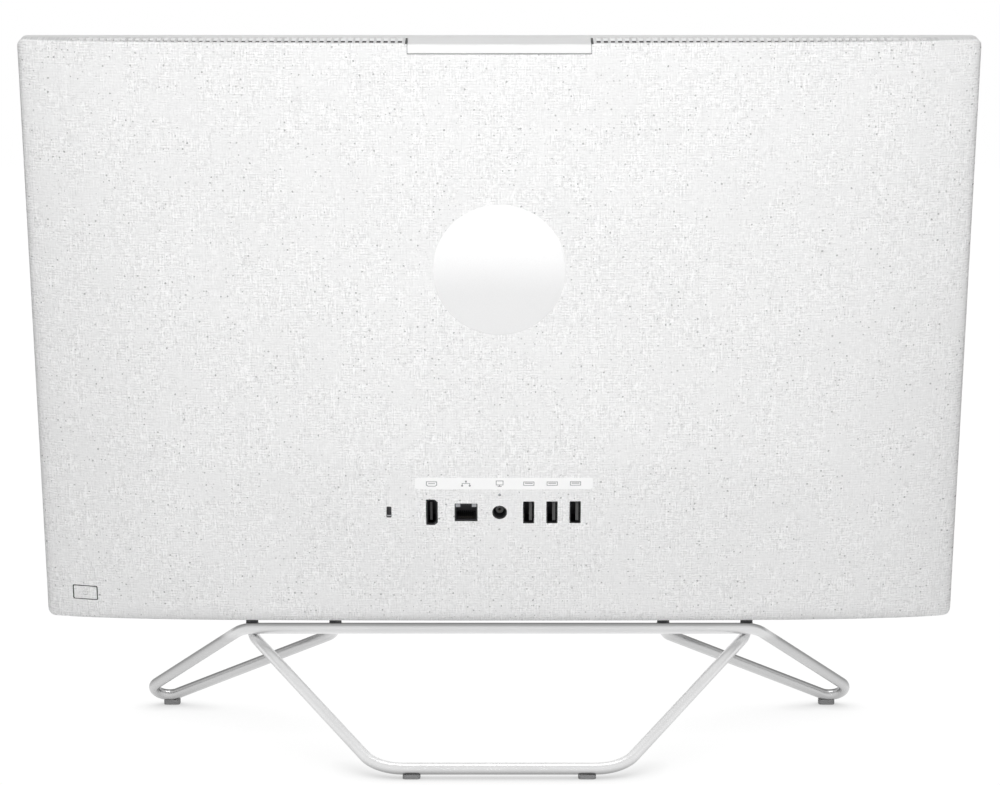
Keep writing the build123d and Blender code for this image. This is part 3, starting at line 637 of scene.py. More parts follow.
def cut(obj, shapes):
    """Subtract the shapes from the object for good."""
    verts, faces = merge(shapes)
    mesh = bpy.data.meshes.new("cutter")
    mesh.from_pydata(in_metres(verts), [], faces)
    face_outwards(mesh)
    cutter = bpy.data.objects.new("cutter", mesh)
    bpy.context.scene.collection.objects.link(cutter)
    cutter.matrix_world = obj.matrix_world.copy()
    modifier = obj.modifiers.new("cut", "BOOLEAN")
    modifier.object = cutter
    modifier.operation = "DIFFERENCE"
    modifier.solver = "EXACT"
    bpy.context.view_layer.update()
    graph = bpy.context.evaluated_depsgraph_get()
    result = bpy.data.meshes.new_from_object(obj.evaluated_get(graph), depsgraph=graph)
    obj.modifiers.clear()
    obj.data = result
    bpy.data.objects.remove(cutter, do_unlink=True)


def box(x0, x1, y0, y1, z0, z1):
    verts = [(x, y, z) for x in (x0, x1) for y in (y0, y1) for z in (z0, z1)]
    return verts, [(0, 1, 3, 2), (4, 6, 7, 5), (0, 4, 5, 1), (2, 3, 7, 6), (0, 2, 6, 4),
                   (1, 5, 7, 3)]


def slab(first, second):
    """Solid between two matching polygons."""
    n = len(first)
    faces = [tuple(range(n)), tuple(range(2 * n - 1, n - 1, -1))]
    faces += [(i, i + n, (i + 1) % n + n, (i + 1) % n) for i in range(n)]
    return first + second, faces


def prism(outline, y0, y1):
    """Outline in (x, z), extruded along y."""
    return slab([(x, y0, z) for x, z in outline], [(x, y1, z) for x, z in outline])


def loft(rings, closed=False):
    """Walls between successive rings; closed also joins the last ring to the first."""
    n, count = len(rings[0]), len(rings)
    faces = []
    for a in range(count if closed else count - 1):
        b = (a + 1) % count
        for i in range(n):
            j = (i + 1) % n
            faces.append((a * n + i, a * n + j, b * n + j, b * n + i))
    return [point for ring in rings for point in ring], faces


def capped_loft(rings):
    verts, faces = loft(rings)
    n = len(rings[0])
    faces += [tuple(range(n - 1, -1, -1)), tuple(range(len(verts) - n, len(verts)))]
    return verts, faces


def circle(x, z, radius, steps):
    return [(x + radius * math.cos(2 * math.pi * i / steps),
             z + radius * math.sin(2 * math.pi * i / steps)) for i in range(steps)]


def round_rect(x0, x1, z0, z1, radius, steps=6, foot_radius=None):
    """Rounded rectangle; the two corners at z0 may have their own radius."""
    foot = radius if foot_radius is None else foot_radius
    points = []
    for x, z, r, start in ((x1 - radius, z1 - radius, radius, 0),
                           (x0 + radius, z1 - radius, radius, 90),
                           (x0 + foot, z0 + foot, foot, 180),
                           (x1 - foot, z0 + foot, foot, 270)):
        for i in range(steps + 1):
            angle = math.radians(start + 90.0 * i / steps)
            points.append((x + r * math.cos(angle), z + r * math.sin(angle)))
    return points


BODY_OUTLINE = (-BODY_W / 2, BODY_W / 2, 0.0, BODY_H, R_TOP, R_FOOT)


def inset_loop(inset, y, outline=BODY_OUTLINE):
    """Loop at depth y inside an outline (x0, x1, z0, z1, top radius, foot radius)."""
    x0, x1, z0, z1, top, foot = outline
    loop = round_rect(x0 + inset, x1 - inset, z0 + inset, z1 - inset, max(top - inset, 0.25),
                      steps=10, foot_radius=max(foot - inset, 0.25))
    return [(x, y, z) for x, z in loop]


# ---------------------------------------------------------------------------
# outer surface of the rear cover
# ---------------------------------------------------------------------------
def station_curve(depths, x):
    """Shape-preserving cubic through the stations, flat at the middle of the body."""
    step = np.diff(STATION_X)
    rise = np.diff(depths) / step
    slope = np.zeros(len(STATION_X))
    for i in range(1, len(STATION_X) - 1):
        if rise[i - 1] * rise[i] > 0:
            weight_a = 2 * step[i] + step[i - 1]
            weight_b = step[i] + 2 * step[i - 1]
            slope[i] = (weight_a + weight_b) / (weight_a / rise[i - 1] + weight_b / rise[i])
    slope[-1] = rise[-1] * 1.3
    x = np.clip(x, STATION_X[0], STATION_X[-1])
    k = np.clip(np.searchsorted(STATION_X, x, side="right") - 1, 0, len(STATION_X) - 2)
    s = (x - STATION_X[k]) / step[k]
    from_start = 2 * s**3 - 3 * s**2 + 1
    start_slope = s**3 - 2 * s**2 + s
    from_end = -2 * s**3 + 3 * s**2
    end_slope = s**3 - s**2
    return (from_start * depths[k] + start_slope * step[k] * slope[k]
            + from_end * depths[k + 1] + end_slope * step[k] * slope[k + 1])


def depth(x, z, edge=TOP_EDGE):
    """Depth of the cover's outer surface at (x, z), arrays allowed."""
    x, z = np.broadcast_arrays(np.abs(np.asarray(x, float)), np.asarray(z, float))
    ridge, top, lower, foot = (station_curve(depths, x) for depths in
                               (DEPTH_RIDGE, DEPTH_TOP, DEPTH_LOWER, DEPTH_FOOT))
    above = ridge + (top - ridge) * (z - RIDGE_Z) / (BODY_H - RIDGE_Z)
    below = lower + (ridge - lower) * (z - LOWER_Z) / (RIDGE_Z - LOWER_Z)
    blend = 0.30  # softness of the ridge
    faces = -blend * np.logaddexp(-above / blend, -below / blend)
    s = np.clip(z / LOWER_Z, 0, 1)
    rounded_foot = foot + (lower - foot) * np.sqrt(np.clip(1 - (1 - s) ** 2, 0, 1))
    result = np.where(z < LOWER_Z, rounded_foot, faces)
    if edge > 0:
        q = np.clip((z - (BODY_H - edge)) / edge, 0, 1)
        result = result - edge * (1 - np.sqrt(np.clip(1 - q * q, 0, 1)))
    return result


def surface(x, z, lift=0.0):
    """Point on the cover at (x, z), lifted rearwards."""
    return x, float(depth(x, z)) + lift, z


def half_width(z, inset):
    top = np.clip(R_TOP - (BODY_H - z), 0, R_TOP)
    foot = np.clip(R_FOOT - z, 0, R_FOOT)
    half = np.full(z.shape, BODY_W / 2)
    half = half - (R_TOP - np.sqrt(np.clip(R_TOP**2 - top**2, 0, None)))
    half = half - (R_FOOT - np.sqrt(np.clip(R_FOOT**2 - foot**2, 0, None)))
    return half - inset


# ---------------------------------------------------------------------------
# rear cover
# ---------------------------------------------------------------------------
# columns from the middle outwards and rows upwards, closer where the surface turns
COLUMN_X = np.array([*np.linspace(0, 236, 60), *np.linspace(239, 262, 12),
                     264, 265.6, 266.8, 267.8, 268.6, 269.2, 269.6, 269.9, 270.12, 270.28, 270.4])
ROW_Z = np.concatenate([
    [0, 0.12, 0.35, 0.7, 1.2, 1.9, 2.8, 4, 5.5, 7.2, 9.4, 12, 15],
    np.arange(19, 92, 4.0), np.arange(92, 118, 1.5), np.arange(119, 343, 4.0),
    [344.5, 346, 347.2, 348.1, 348.5, 348.8, 349.05, 349.25, 349.4, 349.47, BODY_H]])

# centre x, width, height
PORTS = {"lock": (64.39, 3.0, 7.1), "video": (39.33, 6.9, 16.5), "net": (19.37, 13.4, 11.5),
         "usb1": (-17.14, 6.6, 14.2), "usb2": (-30.71, 6.6, 14.2), "usb3": (-44.24, 6.6, 14.2)}
USB_PORTS = ("usb1", "usb2", "usb3")
INLET_X = -0.18          # round power inlet
INLET_R = 4.35
SMALL_HOLE_Z, SMALL_HOLE_R = 85.8, 0.85   # above the inlet
BUTTON_X, BUTTON_Z, BUTTON_W, BUTTON_H = 246.4, 17.1, 14.2, 8.4
WEBCAM_W, WEBCAM_DROP = 101.8, 5.3
VENT_START, VENT_PITCH, VENT_COUNT, VENT_HALF = 55.4, 3.97, 47, 1.25


def cover_shape():
    """Hollow shell: outer and inner sheets, joined by a band at the front."""
    fractions = COLUMN_X / (BODY_W / 2)
    fractions = np.concatenate([-fractions[:0:-1], fractions])
    columns, rows = len(fractions), len(ROW_Z)

    def sheet(inset, levels):
        x = fractions[None, :] * half_width(levels, inset)[:, None]
        z = np.repeat(levels[:, None], columns, 1)
        outer_x = x * (BODY_W / 2) / (BODY_W / 2 - inset) if inset else x
        y = depth(outer_x, np.clip(z, 0, BODY_H), 0.0 if inset else TOP_EDGE) - inset
        return np.stack([x, np.maximum(y, RIM_DEPTH + 0.02), z], -1)

    outer = sheet(0.0, ROW_Z)
    inner = sheet(WALL, WALL + (ROW_Z / BODY_H) * (BODY_H - 2 * WALL))
    verts = [tuple(p) for p in outer.reshape(-1, 3)]
    inner_start = len(verts)
    verts += [tuple(p) for p in inner.reshape(-1, 3)]

    def out_id(i, j):
        return i * columns + j

    def in_id(i, j):
        return inner_start + i * columns + j

    faces = []
    for i in range(rows - 1):
        for j in range(columns - 1):
            faces.append((out_id(i, j), out_id(i + 1, j), out_id(i + 1, j + 1),
                          out_id(i, j + 1)))
            faces.append((in_id(i, j), in_id(i, j + 1), in_id(i + 1, j + 1), in_id(i + 1, j)))

    border = ([(0, j) for j in range(columns)] + [(i, columns - 1) for i in range(1, rows)]
              + [(rows - 1, j) for j in range(columns - 2, -1, -1)]
              + [(i, 0) for i in range(rows - 2, 0, -1)])
    front_y = RIM_DEPTH + 0.12
    n = len(border)
    front_out = len(verts)
    front_in = front_out + n
    for grid in (outer, inner):
        verts += [(grid[i, j][0], front_y, grid[i, j][2]) for i, j in border]
    for k in range(n):
        m = (k + 1) % n
        faces.append((out_id(*border[k]), out_id(*border[m]), front_out + m, front_out + k))
        faces.append((in_id(*border[k]), front_in + k, front_in + m, in_id(*border[m])))
        faces.append((front_out + k, front_out + m, front_in + m, front_in + k))
    return verts, faces


def video_outline(x, width, z0, z1):
    """Two corners cut off on the -x side, two slightly blunted on the +x side."""
    big, small = 1.7, 0.3
    right, left = x - width / 2, x + width / 2
    return [(left - small, z0), (left, z0 + small), (left, z1 - small), (left - small, z1),
            (right + big, z1), (right, z1 - big), (right, z0 + big), (right + big, z0)]


def window_cutters():
    """Port windows, power inlet, button, rod slots and webcam notch."""
    cutters = []
    for name, (x, width, height) in PORTS.items():
        z0, z1 = PORT_Z - height / 2, PORT_Z + height / 2
        if name == "video":
            outline = video_outline(x, width, z0, z1)
        else:
            outline = round_rect(x - width / 2, x + width / 2, z0, z1,
                                 0.75 if name == "lock" else 0.5)
        cutters.append(prism(outline, 20, 45))
    cutters.append(prism(circle(INLET_X, PORT_Z, INLET_R, 56), 20, 45))
    cutters.append(prism(circle(INLET_X, SMALL_HOLE_Z, SMALL_HOLE_R, 20), 20, 45))
    cutters.append(prism(round_rect(
        BUTTON_X - BUTTON_W / 2 - 0.5, BUTTON_X + BUTTON_W / 2 + 0.5,
        BUTTON_Z - BUTTON_H / 2 - 0.25, BUTTON_Z + BUTTON_H / 2 + 0.5, 0.9), 9, 30))
    cutters += [box(x - 4.0, x + 4.0, 5, 17.0, -1, 6.0) for x in POST_XS]
    cutters.append(box(-WEBCAM_W / 2 - 0.5, WEBCAM_W / 2 + 0.5, 5, 40,
                       BODY_H - WEBCAM_DROP - 0.6, BODY_H + 1))
    return cutters


def vent_cutter(x):
    """One slot in the top edge, with a sloping floor at its front end."""
    front = 9.3
    rear = float(depth(x, BODY_H - 2.0)) - 2.5
    slope_end = min(15.0, front + 0.5 * (rear - front))
    above, floor_z = BODY_H + 1, BODY_H - 3.4
    profile = [(front, above), (front, BODY_H - 0.05), (slope_end, BODY_H - 2.4),
               (slope_end, floor_z), (rear, floor_z), (rear, above)]
    return slab([(x - VENT_HALF, y, z) for y, z in profile],
                [(x + VENT_HALF, y, z) for y, z in profile])


shell = make("rear_shell", cover_shape(), "cover_white")
cut(shell, window_cutters())
behind_webcam = box(-45.4, 45.4, 5, 21.4, BODY_H - WEBCAM_DROP - 4, BODY_H + 1)
cut(shell, [behind_webcam] + [vent_cutter(side * (VENT_START + i * VENT_PITCH))
                              for side in (-1, 1) for i in range(VENT_COUNT)])
smooth_shade(shell.data, 30.0)
even = shell.modifiers.new("even_normals", "WEIGHTED_NORMAL")
even.mode = "FACE_AREA"
even.weight = 60
even.keep_sharp = True
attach(shell, "display")
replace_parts(shell, "rear_cover")

# ---------------------------------------------------------------------------
# front rim, screen surround, chin
# ---------------------------------------------------------------------------
# inset from the body outline, depth y
RIM_PROFILE = [
    (1.0, 0.0), (0.55, 0.08), (0.25, 0.28), (0.07, 0.6), (0.0, 1.1), (0.0, RIM_DEPTH - 0.55),
    (0.12, RIM_DEPTH - 0.22), (0.42, RIM_DEPTH), (2.0, RIM_DEPTH), (2.0, 1.25), (2.35, 1.25),
    (2.35, 0.35), (2.2, 0.0)]
SCREEN_W, SCREEN_H, SCREEN_Z = 527, 296.5, 46.1
CHIN_OUTLINE = (-268.0, 268.0, 2.4, 41.4, 1.0, 4.6)
CHIN_PROFILE = [(0.05, 1.2), (0.0, 0.5), (0.12, 0.18), (0.5, 0.0)]   # inset, depth y
SLOT_START, SLOT_PITCH, SLOT_COUNT, SLOT_HALF = 150, 3.6, 28, 0.75


def build_rim():
    rings = [inset_loop(inset, y) for inset, y in RIM_PROFILE]
    rim = make("front_rim", loft(rings, closed=True), "frame_paint", sharp=28)
    cut(rim, [box(x - 4.0, x + 4.0, 4.6, 8.6, -1, 2.6) for x in POST_XS])
    smooth_shade(rim.data, 28)
    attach(rim, "display")
    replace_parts(rim, "front_frame")


def build_surround():
    """Flat black frame round the screen, its front edges softened."""
    front, rear, soft, inset = 0.12, 1.55, 0.25, 2.4
    outline = (-BODY_W / 2, BODY_W / 2, SCREEN_Z - 6.5, BODY_H, R_TOP, 2.6)
    window = (-SCREEN_W / 2, SCREEN_W / 2, SCREEN_Z, SCREEN_Z + SCREEN_H, 0.6, 0.6)
    rings = [inset_loop(inset, rear, outline), inset_loop(inset, front + soft, outline),
             inset_loop(inset + soft, front, outline), inset_loop(-soft, front, window),
             inset_loop(0.0, front + soft, window), inset_loop(0.0, rear, window)]
    surround = make("screen_surround", loft(rings, closed=True), "black_mask", "display",
                    recalc=False)
    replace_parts(surround, "screen_border")


def build_chin():
    """Woven panel below the screen, with a row of upright slots at each end of its foot."""
    rings = [inset_loop(inset, y, CHIN_OUTLINE) for inset, y in CHIN_PROFILE]
    verts, faces = loft(rings)
    n = len(rings[0])
    faces += [tuple(range(len(verts) - n, len(verts))), tuple(range(n - 1, -1, -1))]
    chin = make("chin_cover", (verts, faces), "woven_white")
    slot_xs = [side * (SLOT_START + i * SLOT_PITCH) for side in (-1, 1)
               for i in range(SLOT_COUNT)]
    cut(chin, [prism(round_rect(x - SLOT_HALF, x + SLOT_HALF, 7.0, 12.4, 0.7, 4), -1, 0.75)
               for x in slot_xs])
    smooth_shade(chin.data, 30)
    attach(chin, "display")
    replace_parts(chin, "chin_grille")


build_rim()
build_surround()
build_chin()

# ---------------------------------------------------------------------------
# badge, label strip, icons
# ---------------------------------------------------------------------------
BADGE_LIFT = 0.22
# radius, lift above the cover
BADGE_RINGS = [(radius, BADGE_LIFT) for radius in (4, 10, 18, 26, 31, 35, 36.8)]
BADGE_RINGS += [(37.4, 0.19), (37.7, 0.12), (37.85, 0.0), (37.85, -0.5)]
LABEL_X0, LABEL_X1, LABEL_Z0, LABEL_Z1 = -54.4, 49.1, 89.3, 96.8
LABEL_MID = (LABEL_Z0 + LABEL_Z1) / 2

SLOT_ICON = [(0.40, True, [(-3.0, -1.1), (-3.0, 1.1), (3.0, 1.1), (3.0, -1.1)]),
             (0.55, False, [(-2.0, 0.25), (2.0, 0.25)])]
# name, centre x, dot centres, strokes (width, closed, points); points are from the icon's centre
ICONS = [
    ("icon_plug_outline", PORTS["video"][0], [], [
        (0.42, True, [(3.0, -1.1), (3.0, 1.1), (-3.0, 1.1), (-3.0, -1.1), (-2.0, -1.7),
                      (2.0, -1.7)]),
        (0.42, False, [(-1.8, -0.1), (1.8, -0.1)])]),
    ("icon_linked_nodes", PORTS["net"][0], [(0.0, 1.4), (2.2, -1.3), (-2.2, -1.3)], [
        (0.36, False, [(0.0, 1.0), (0.0, 0.1)]),
        (0.36, False, [(2.2, -1.0), (2.2, 0.1), (-2.2, 0.1), (-2.2, -1.0)])]),
    ("icon_display_outline", INLET_X, [], [
        (0.42, True, [(-2.0, -0.8), (-2.0, 1.8), (2.0, 1.8), (2.0, -0.8)]),
        (0.42, False, [(-1.0, -1.8), (1.0, -1.8)]),
        (0.42, False, [(0.0, -0.9), (0.0, -1.6)])]),
]
ICONS += [("icon_slot_outline_%d" % (i + 1), PORTS[port][0], [], SLOT_ICON)
          for i, port in enumerate(USB_PORTS)]
DOT_R = 0.62


def build_badge(steps=128):
    """Disc that follows the bowed cover, with a rounded rim."""
    rings = [[surface(x, z, lift) for x, z in circle(0.0, BADGE_Z, radius, steps)]
             for radius, lift in BADGE_RINGS]
    verts, walls = loft(rings)
    verts = [surface(0.0, BADGE_Z, BADGE_LIFT)] + verts
    faces = [(0, 1 + (i + 1) % steps, 1 + i) for i in range(steps)]
    faces += [tuple(i + 1 for i in wall) for wall in walls]
    faces.append(tuple(range(len(verts) - steps, len(verts))))
    badge = make("round_badge", (verts, faces), "badge_plain", "display", sharp=40,
                 recalc=False)
    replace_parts(badge, "badge_disc")


def build_label():
    """Thin round-cornered strip above the ports, in columns so that it bends with the cover."""
    inset, lift, sunk, radius = 0.1, 0.05, -0.2, 0.6
    x0, x1 = LABEL_X0 + inset, LABEL_X1 - inset
    z0, z1 = LABEL_Z0 + inset, LABEL_Z1 - inset
    verts, faces, columns = [], [], []
    for x in np.linspace(x0, x1, 60):
        trim = 0.0
        for gap in (x - x0, x1 - x):
            if gap < radius:
                trim = max(trim, radius - math.sqrt(max(0.0, radius**2 - (radius - gap) ** 2)))
        low, high = z0 + trim, z1 - trim
        middle = z0 + trim + 0.001 + (z1 - z0 - 2 * trim) * 0.5
        columns.append([len(verts) + i for i in range(5)])
        verts += [surface(x, low, sunk), surface(x, low, lift), surface(x, middle, lift),
                  surface(x, high, lift), surface(x, high, sunk)]
    for a, b in zip(columns[:-1], columns[1:]):
        faces += [(a[i], b[i], b[(i + 1) % 5], a[(i + 1) % 5]) for i in range(5)]
    faces += [tuple(columns[0]), tuple(reversed(columns[-1]))]
    label = make("port_label", (verts, faces), "label_white", "display", sharp=40)
    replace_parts(label, "port_label_strip")


def pen_stroke(center_x, center_z, width, closed, points):
    """Flat pen stroke as a list of quads in (x, z)."""
    points = [(center_x + x, center_z + z) for x, z in points]
    ends = points[1:] + points[:1] if closed else points[1:]
    quads = []
    for (xa, za), (xb, zb) in zip(points, ends):
        length = math.hypot(xb - xa, zb - za)
        side_x, side_z = -(zb - za) / length * width / 2, (xb - xa) / length * width / 2
        end_x, end_z = (xb - xa) / length * width / 2, (zb - za) / length * width / 2
        quads.append([(xa - end_x + side_x, za - end_z + side_z),
                      (xa - end_x - side_x, za - end_z - side_z),
                      (xb + end_x - side_x, zb + end_z - side_z),
                      (xb + end_x + side_x, zb + end_z + side_z)])
    return quads


def icon(name, center_x, center_z, dots, strokes, lift=0.09, finish="icon_grey"):
    polygons = [circle(center_x + x, center_z + z, DOT_R, 12) for x, z in dots]
    for stroke in strokes:
        polygons += pen_stroke(center_x, center_z, *stroke)
    shapes = [slab([surface(x, z, lift) for x, z in polygon],
                   [surface(x, z, 0.02) for x, z in polygon]) for polygon in polygons]
    return make(name, merge(shapes), finish, "display", sharp=30)


build_badge()
build_label()
for icon_name, icon_x, icon_dots, icon_strokes in ICONS:
    icon(icon_name, icon_x, LABEL_MID, icon_dots, icon_strokes)


# ---------------------------------------------------------------------------
# power button cap
# ---------------------------------------------------------------------------
def button_cap():
    """Cap that follows the cover, with softened edges and a stem in front of it."""
    gap, radius = 0.05, 0.8
    x0, x1 = BUTTON_X - BUTTON_W / 2 + gap, BUTTON_X + BUTTON_W / 2 - gap
    z0, z1 = BUTTON_Z - BUTTON_H / 2 + gap, BUTTON_Z + BUTTON_H / 2 - gap
    rings = []
    for inset, lift in [(0.0, -2.4), (0.0, -0.45), (0.16, -0.12), (0.5, 0.0)]:
        loop = round_rect(x0 + inset, x1 - inset, z0 + inset, z1 - inset,
                          max(radius - inset, 0.3), 5)
        rings.append([surface(x, z, lift) for x, z in loop])
    verts, walls = loft(rings)
    n = len(rings[0])
    # both ends are wound against the walls, so that their borders are marked sharp
    faces = [tuple(range(n))] + walls + [tuple(range(len(verts) - 1, len(verts) - n - 1, -1))]
    stem = box(BUTTON_X - 2.5, BUTTON_X + 2.5, 12.4, float(depth(BUTTON_X, BUTTON_Z)) - 2.3,
               BUTTON_Z - 1.8, BUTTON_Z + 1.8)
    return merge([(verts, faces), stem])


cap = make("power_cap", button_cap(), "cover_white", "button", sharp=35)
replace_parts(cap, "power_button")

MARK_R, MARK_LINE = 1.5, 0.28
mark_angles = [math.radians(125 + i * 290 / 20) for i in range(21)]
mark_arc = [(MARK_R * math.cos(a), MARK_R * math.sin(a)) for a in mark_angles]
mark = icon("power_mark", BUTTON_X, BUTTON_Z, [],
            [(MARK_LINE, False, mark_arc), (MARK_LINE, False, [(0.0, 0.5), (0.0, 1.9)])],
            lift=0.03, finish="faint_grey")
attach(mark, "button")  # this icon moves with the button, not the display

# ---------------------------------------------------------------------------
# stand rods, in the stand frame
# ---------------------------------------------------------------------------
ROD_R = 6.6 / 2
POST_Y = 11.2
# the uprights end 3.4 above the body-frame point y = 11, z = 10
POST_TOP = BODY_Z - 11 * math.sin(TILT) + 10 * math.cos(TILT) + 3.4
POST_BEND_R = 8.0
# front rod: a level bar, and legs in a slanted plane that runs down and forwards from it
BAR_X, BAR_Y, BAR_Z, BAR_BEND_R = 153.2, 18.0, 58.7, 15.0
DOWN_Y, DOWN_Z = -0.73362, -0.67956      # unit direction down the plane
TOE_X, TOE_DOWN, TOE_R = 204.17, 69.19, 8.51   # centre and radius of the foot bend
PIN_DOWN, PIN_Z = 9.269, 54.8            # where an upright turns into the leg
# rear rod: corners of one half
REAR_TURN_Z = 53.3
REAR_X, REAR_Y, REAR_Z, REAR_BEND_R = 67.8, 148.8, 5.3, 25.0


def arc(start, middle, end, steps):
    """Points of the circle through three points."""
    a, b, c = (np.array(p, float) for p in (start, middle, end))
    ab, ac = b - a, c - a
    normal = np.cross(ab, ac)
    square = normal.dot(normal)
    center = a + (np.cross(normal, ab) * ac.dot(ac)
                  + np.cross(ac, normal) * ab.dot(ab)) / (2 * square)
    radius = np.linalg.norm(a - center)
    u = (a - center) / radius
    v = np.cross(normal / math.sqrt(square), u)
    w = c - center
    angle = math.atan2(w.dot(v), w.dot(u)) % (2 * math.pi)
    return [tuple(center + radius * (math.cos(angle * k / steps) * u
                                     + math.sin(angle * k / steps) * v))
            for k in range(steps + 1)]


def corner(before, at, after, radius):
    """Start, middle and end of the bend that rounds a corner."""
    a, b, c = (np.array(p, float) for p in (before, at, after))
    u, v = (a - b) / np.linalg.norm(a - b), (c - b) / np.linalg.norm(c - b)
    angle = math.acos(np.clip(u.dot(v), -1, 1))
    reach = radius / math.tan(angle / 2)
    bisector = (u + v) / np.linalg.norm(u + v)
    return (b + u * reach, b + bisector * (radius / math.sin(angle / 2) - radius),
            b + v * reach)


def straight(start, end, step=6.0):
    a, b = np.array(start, float), np.array(end, float)
    n = max(1, int(np.linalg.norm(b - a) / step))
    return [tuple(a + (b - a) * k / n) for k in range(n + 1)]


def chain(parts):
    """One path from several, without doubled points."""
    path = []
    for part in parts:
        for point in part:
            if not path or np.linalg.norm(np.array(point) - np.array(path[-1])) > 1e-5:
                path.append(tuple(point))
    return path


def toe_tangent(x, down, side):
    """Where the straight from (x, down) in the slanted plane touches the foot bend."""
    run_x, run_down = TOE_X - x, TOE_DOWN - down
    distance = math.hypot(run_x, run_down)
    angle = math.atan2(run_down, run_x) + side * math.asin(TOE_R / distance)
    length = math.sqrt(distance * distance - TOE_R * TOE_R)
    return x + length * math.cos(angle), down + length * math.sin(angle)


def in_plane(x, down):
    return x, BAR_Y + DOWN_Y * down, BAR_Z + DOWN_Z * down


def front_path():
    outer, inner = toe_tangent(BAR_X, 0.0, -1), toe_tangent(POST_IN, PIN_DOWN, 1)
    mid_x = outer[0] + inner[0] - 2 * TOE_X
    mid_down = outer[1] + inner[1] - 2 * TOE_DOWN
    k = TOE_R / math.hypot(mid_x, mid_down)
    toe = in_plane(TOE_X + mid_x * k, TOE_DOWN + mid_down * k)
    outer, inner = in_plane(*outer), in_plane(*inner)
    post = corner((POST_IN, POST_Y, POST_TOP), (POST_IN, POST_Y, PIN_Z), inner, POST_BEND_R)
    bar = corner(outer, (BAR_X, BAR_Y, BAR_Z), (0, BAR_Y, BAR_Z), BAR_BEND_R)
    half = chain([straight((POST_IN, POST_Y, POST_TOP), post[0]), arc(*post, 10),
                  straight(post[2], inner), arc(inner, toe, outer, 28),
                  straight(outer, bar[0]), arc(*bar, 16)])
    mirrored = [(-x, y, z) for x, y, z in reversed(half)]
    return half + straight(half[-1], mirrored[0], 8.0)[1:-1] + mirrored


def rear_path():
    half = [(POST_OUT, POST_Y, POST_TOP), (POST_OUT, POST_Y, REAR_TURN_Z),
            (REAR_X, REAR_Y, REAR_Z)]
    points = half + [(-x, y, z) for x, y, z in reversed(half)]
    radii = [POST_BEND_R, REAR_BEND_R, REAR_BEND_R, POST_BEND_R]
    parts, current = [], points[0]
    for i, radius in enumerate(radii, start=1):
        bend = corner(points[i - 1], points[i], points[i + 1], radius)
        parts += [straight(current, bend[0]), arc(*bend, 20)]
        current = bend[2]
    parts.append(straight(current, points[-1]))
    return chain(parts)


def rod(name, path, finish, steps=40):
    """Round bar swept along a path without twist."""
    points = np.array(path)
    tangents = np.gradient(points, axis=0)
    tangents /= np.linalg.norm(tangents, axis=1)[:, None]
    normal = np.cross(tangents[0], [1.0, 0.0, 0.0])
    normal /= np.linalg.norm(normal)
    rings = []
    for i, (point, tangent) in enumerate(zip(points, tangents)):
        if i:
            normal = normal - tangent * normal.dot(tangent)
            normal /= np.linalg.norm(normal)
        across = np.cross(tangent, normal)
        angles = [2 * math.pi * k / steps for k in range(steps)]
        rings.append([tuple(point + ROD_R * (math.cos(a) * normal + math.sin(a) * across))
                      for a in angles])
    return make(name, capped_loft(rings), finish, "stand", sharp=50)


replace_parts(rod("front_rod", front_path(), "rod_silver"), "front_leg_rod")
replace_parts(rod("rear_rod", rear_path(), "rod_rear"), "rear_leg_rod")

# dark sleeves where the rods pass into the body: radius, z
SLEEVE_PROFILE = [(3.31, 60.4), (3.62, 60.4), (3.72, 60.6), (3.72, 61.3), (3.60, 61.45),
                  (3.60, 62.1), (3.72, 62.25), (3.72, 68.6), (3.31, 68.8)]
for side, side_name in ((1, "left"), (-1, "right")):
    for post_x, post_name in ((POST_IN, "inner"), (POST_OUT, "outer")):
        sleeve_rings = [[(x, y, z) for x, y in circle(side * post_x, POST_Y, radius, 48)]
                        for radius, z in SLEEVE_PROFILE]
        make("sleeve_%s_%s" % (post_name, side_name), capped_loft(sleeve_rings),
             "post_sleeve", "stand", sharp=35)

FOOT_HALF_X, FOOT_HALF_Y, FOOT_R = 4.9, 3.5, 2.0
# name, centre x, centre y, height
FEET = [("front_left", 202.6, -40.2, 3.2), ("front_right", -202.6, -40.2, 3.2),
        ("rear_left", 48.5, REAR_Y, 2.5), ("rear_right", -48.5, REAR_Y, 2.5)]


def foot_pad(name, center_x, center_y, height):
    """Oblong rubber pad under a rod, with rounded edges."""
    profile = [(0.75, 0.0), (0.32, 0.0), (0.12, 0.1), (0.0, 0.4), (0.0, height - 0.35),
               (0.08, height - 0.15), (0.25, height - 0.04), (0.8, height)]  # inset, z
    rings = []
    for inset, z in profile:
        loop = round_rect(-FOOT_HALF_X + inset, FOOT_HALF_X - inset,
                          -FOOT_HALF_Y + inset, FOOT_HALF_Y - inset, FOOT_R - inset, 8)
        rings.append([(center_x + x, center_y + y, z) for x, y in loop])
    return make("foot_" + name, capped_loft(rings), "rubber_grey", "stand", sharp=35)


pads = {row[0]: foot_pad(*row) for row in FEET}
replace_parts(pads["front_left"], "front_foot_pads")
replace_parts(pads["rear_left"], "rear_foot_pads")

# ---------------------------------------------------------------------------
# port details over the CAD connectors
# ---------------------------------------------------------------------------
PORT_FACE = 32.6  # depth of the connector faces
# radius, depth y
INLET_PROFILE = [(0.62, 24.0), (0.62, 28.3), (0.9, 28.7), (2.2, 28.7), (2.5, 28.4),
                 (2.55, 27.6), (2.55, 24.0)]


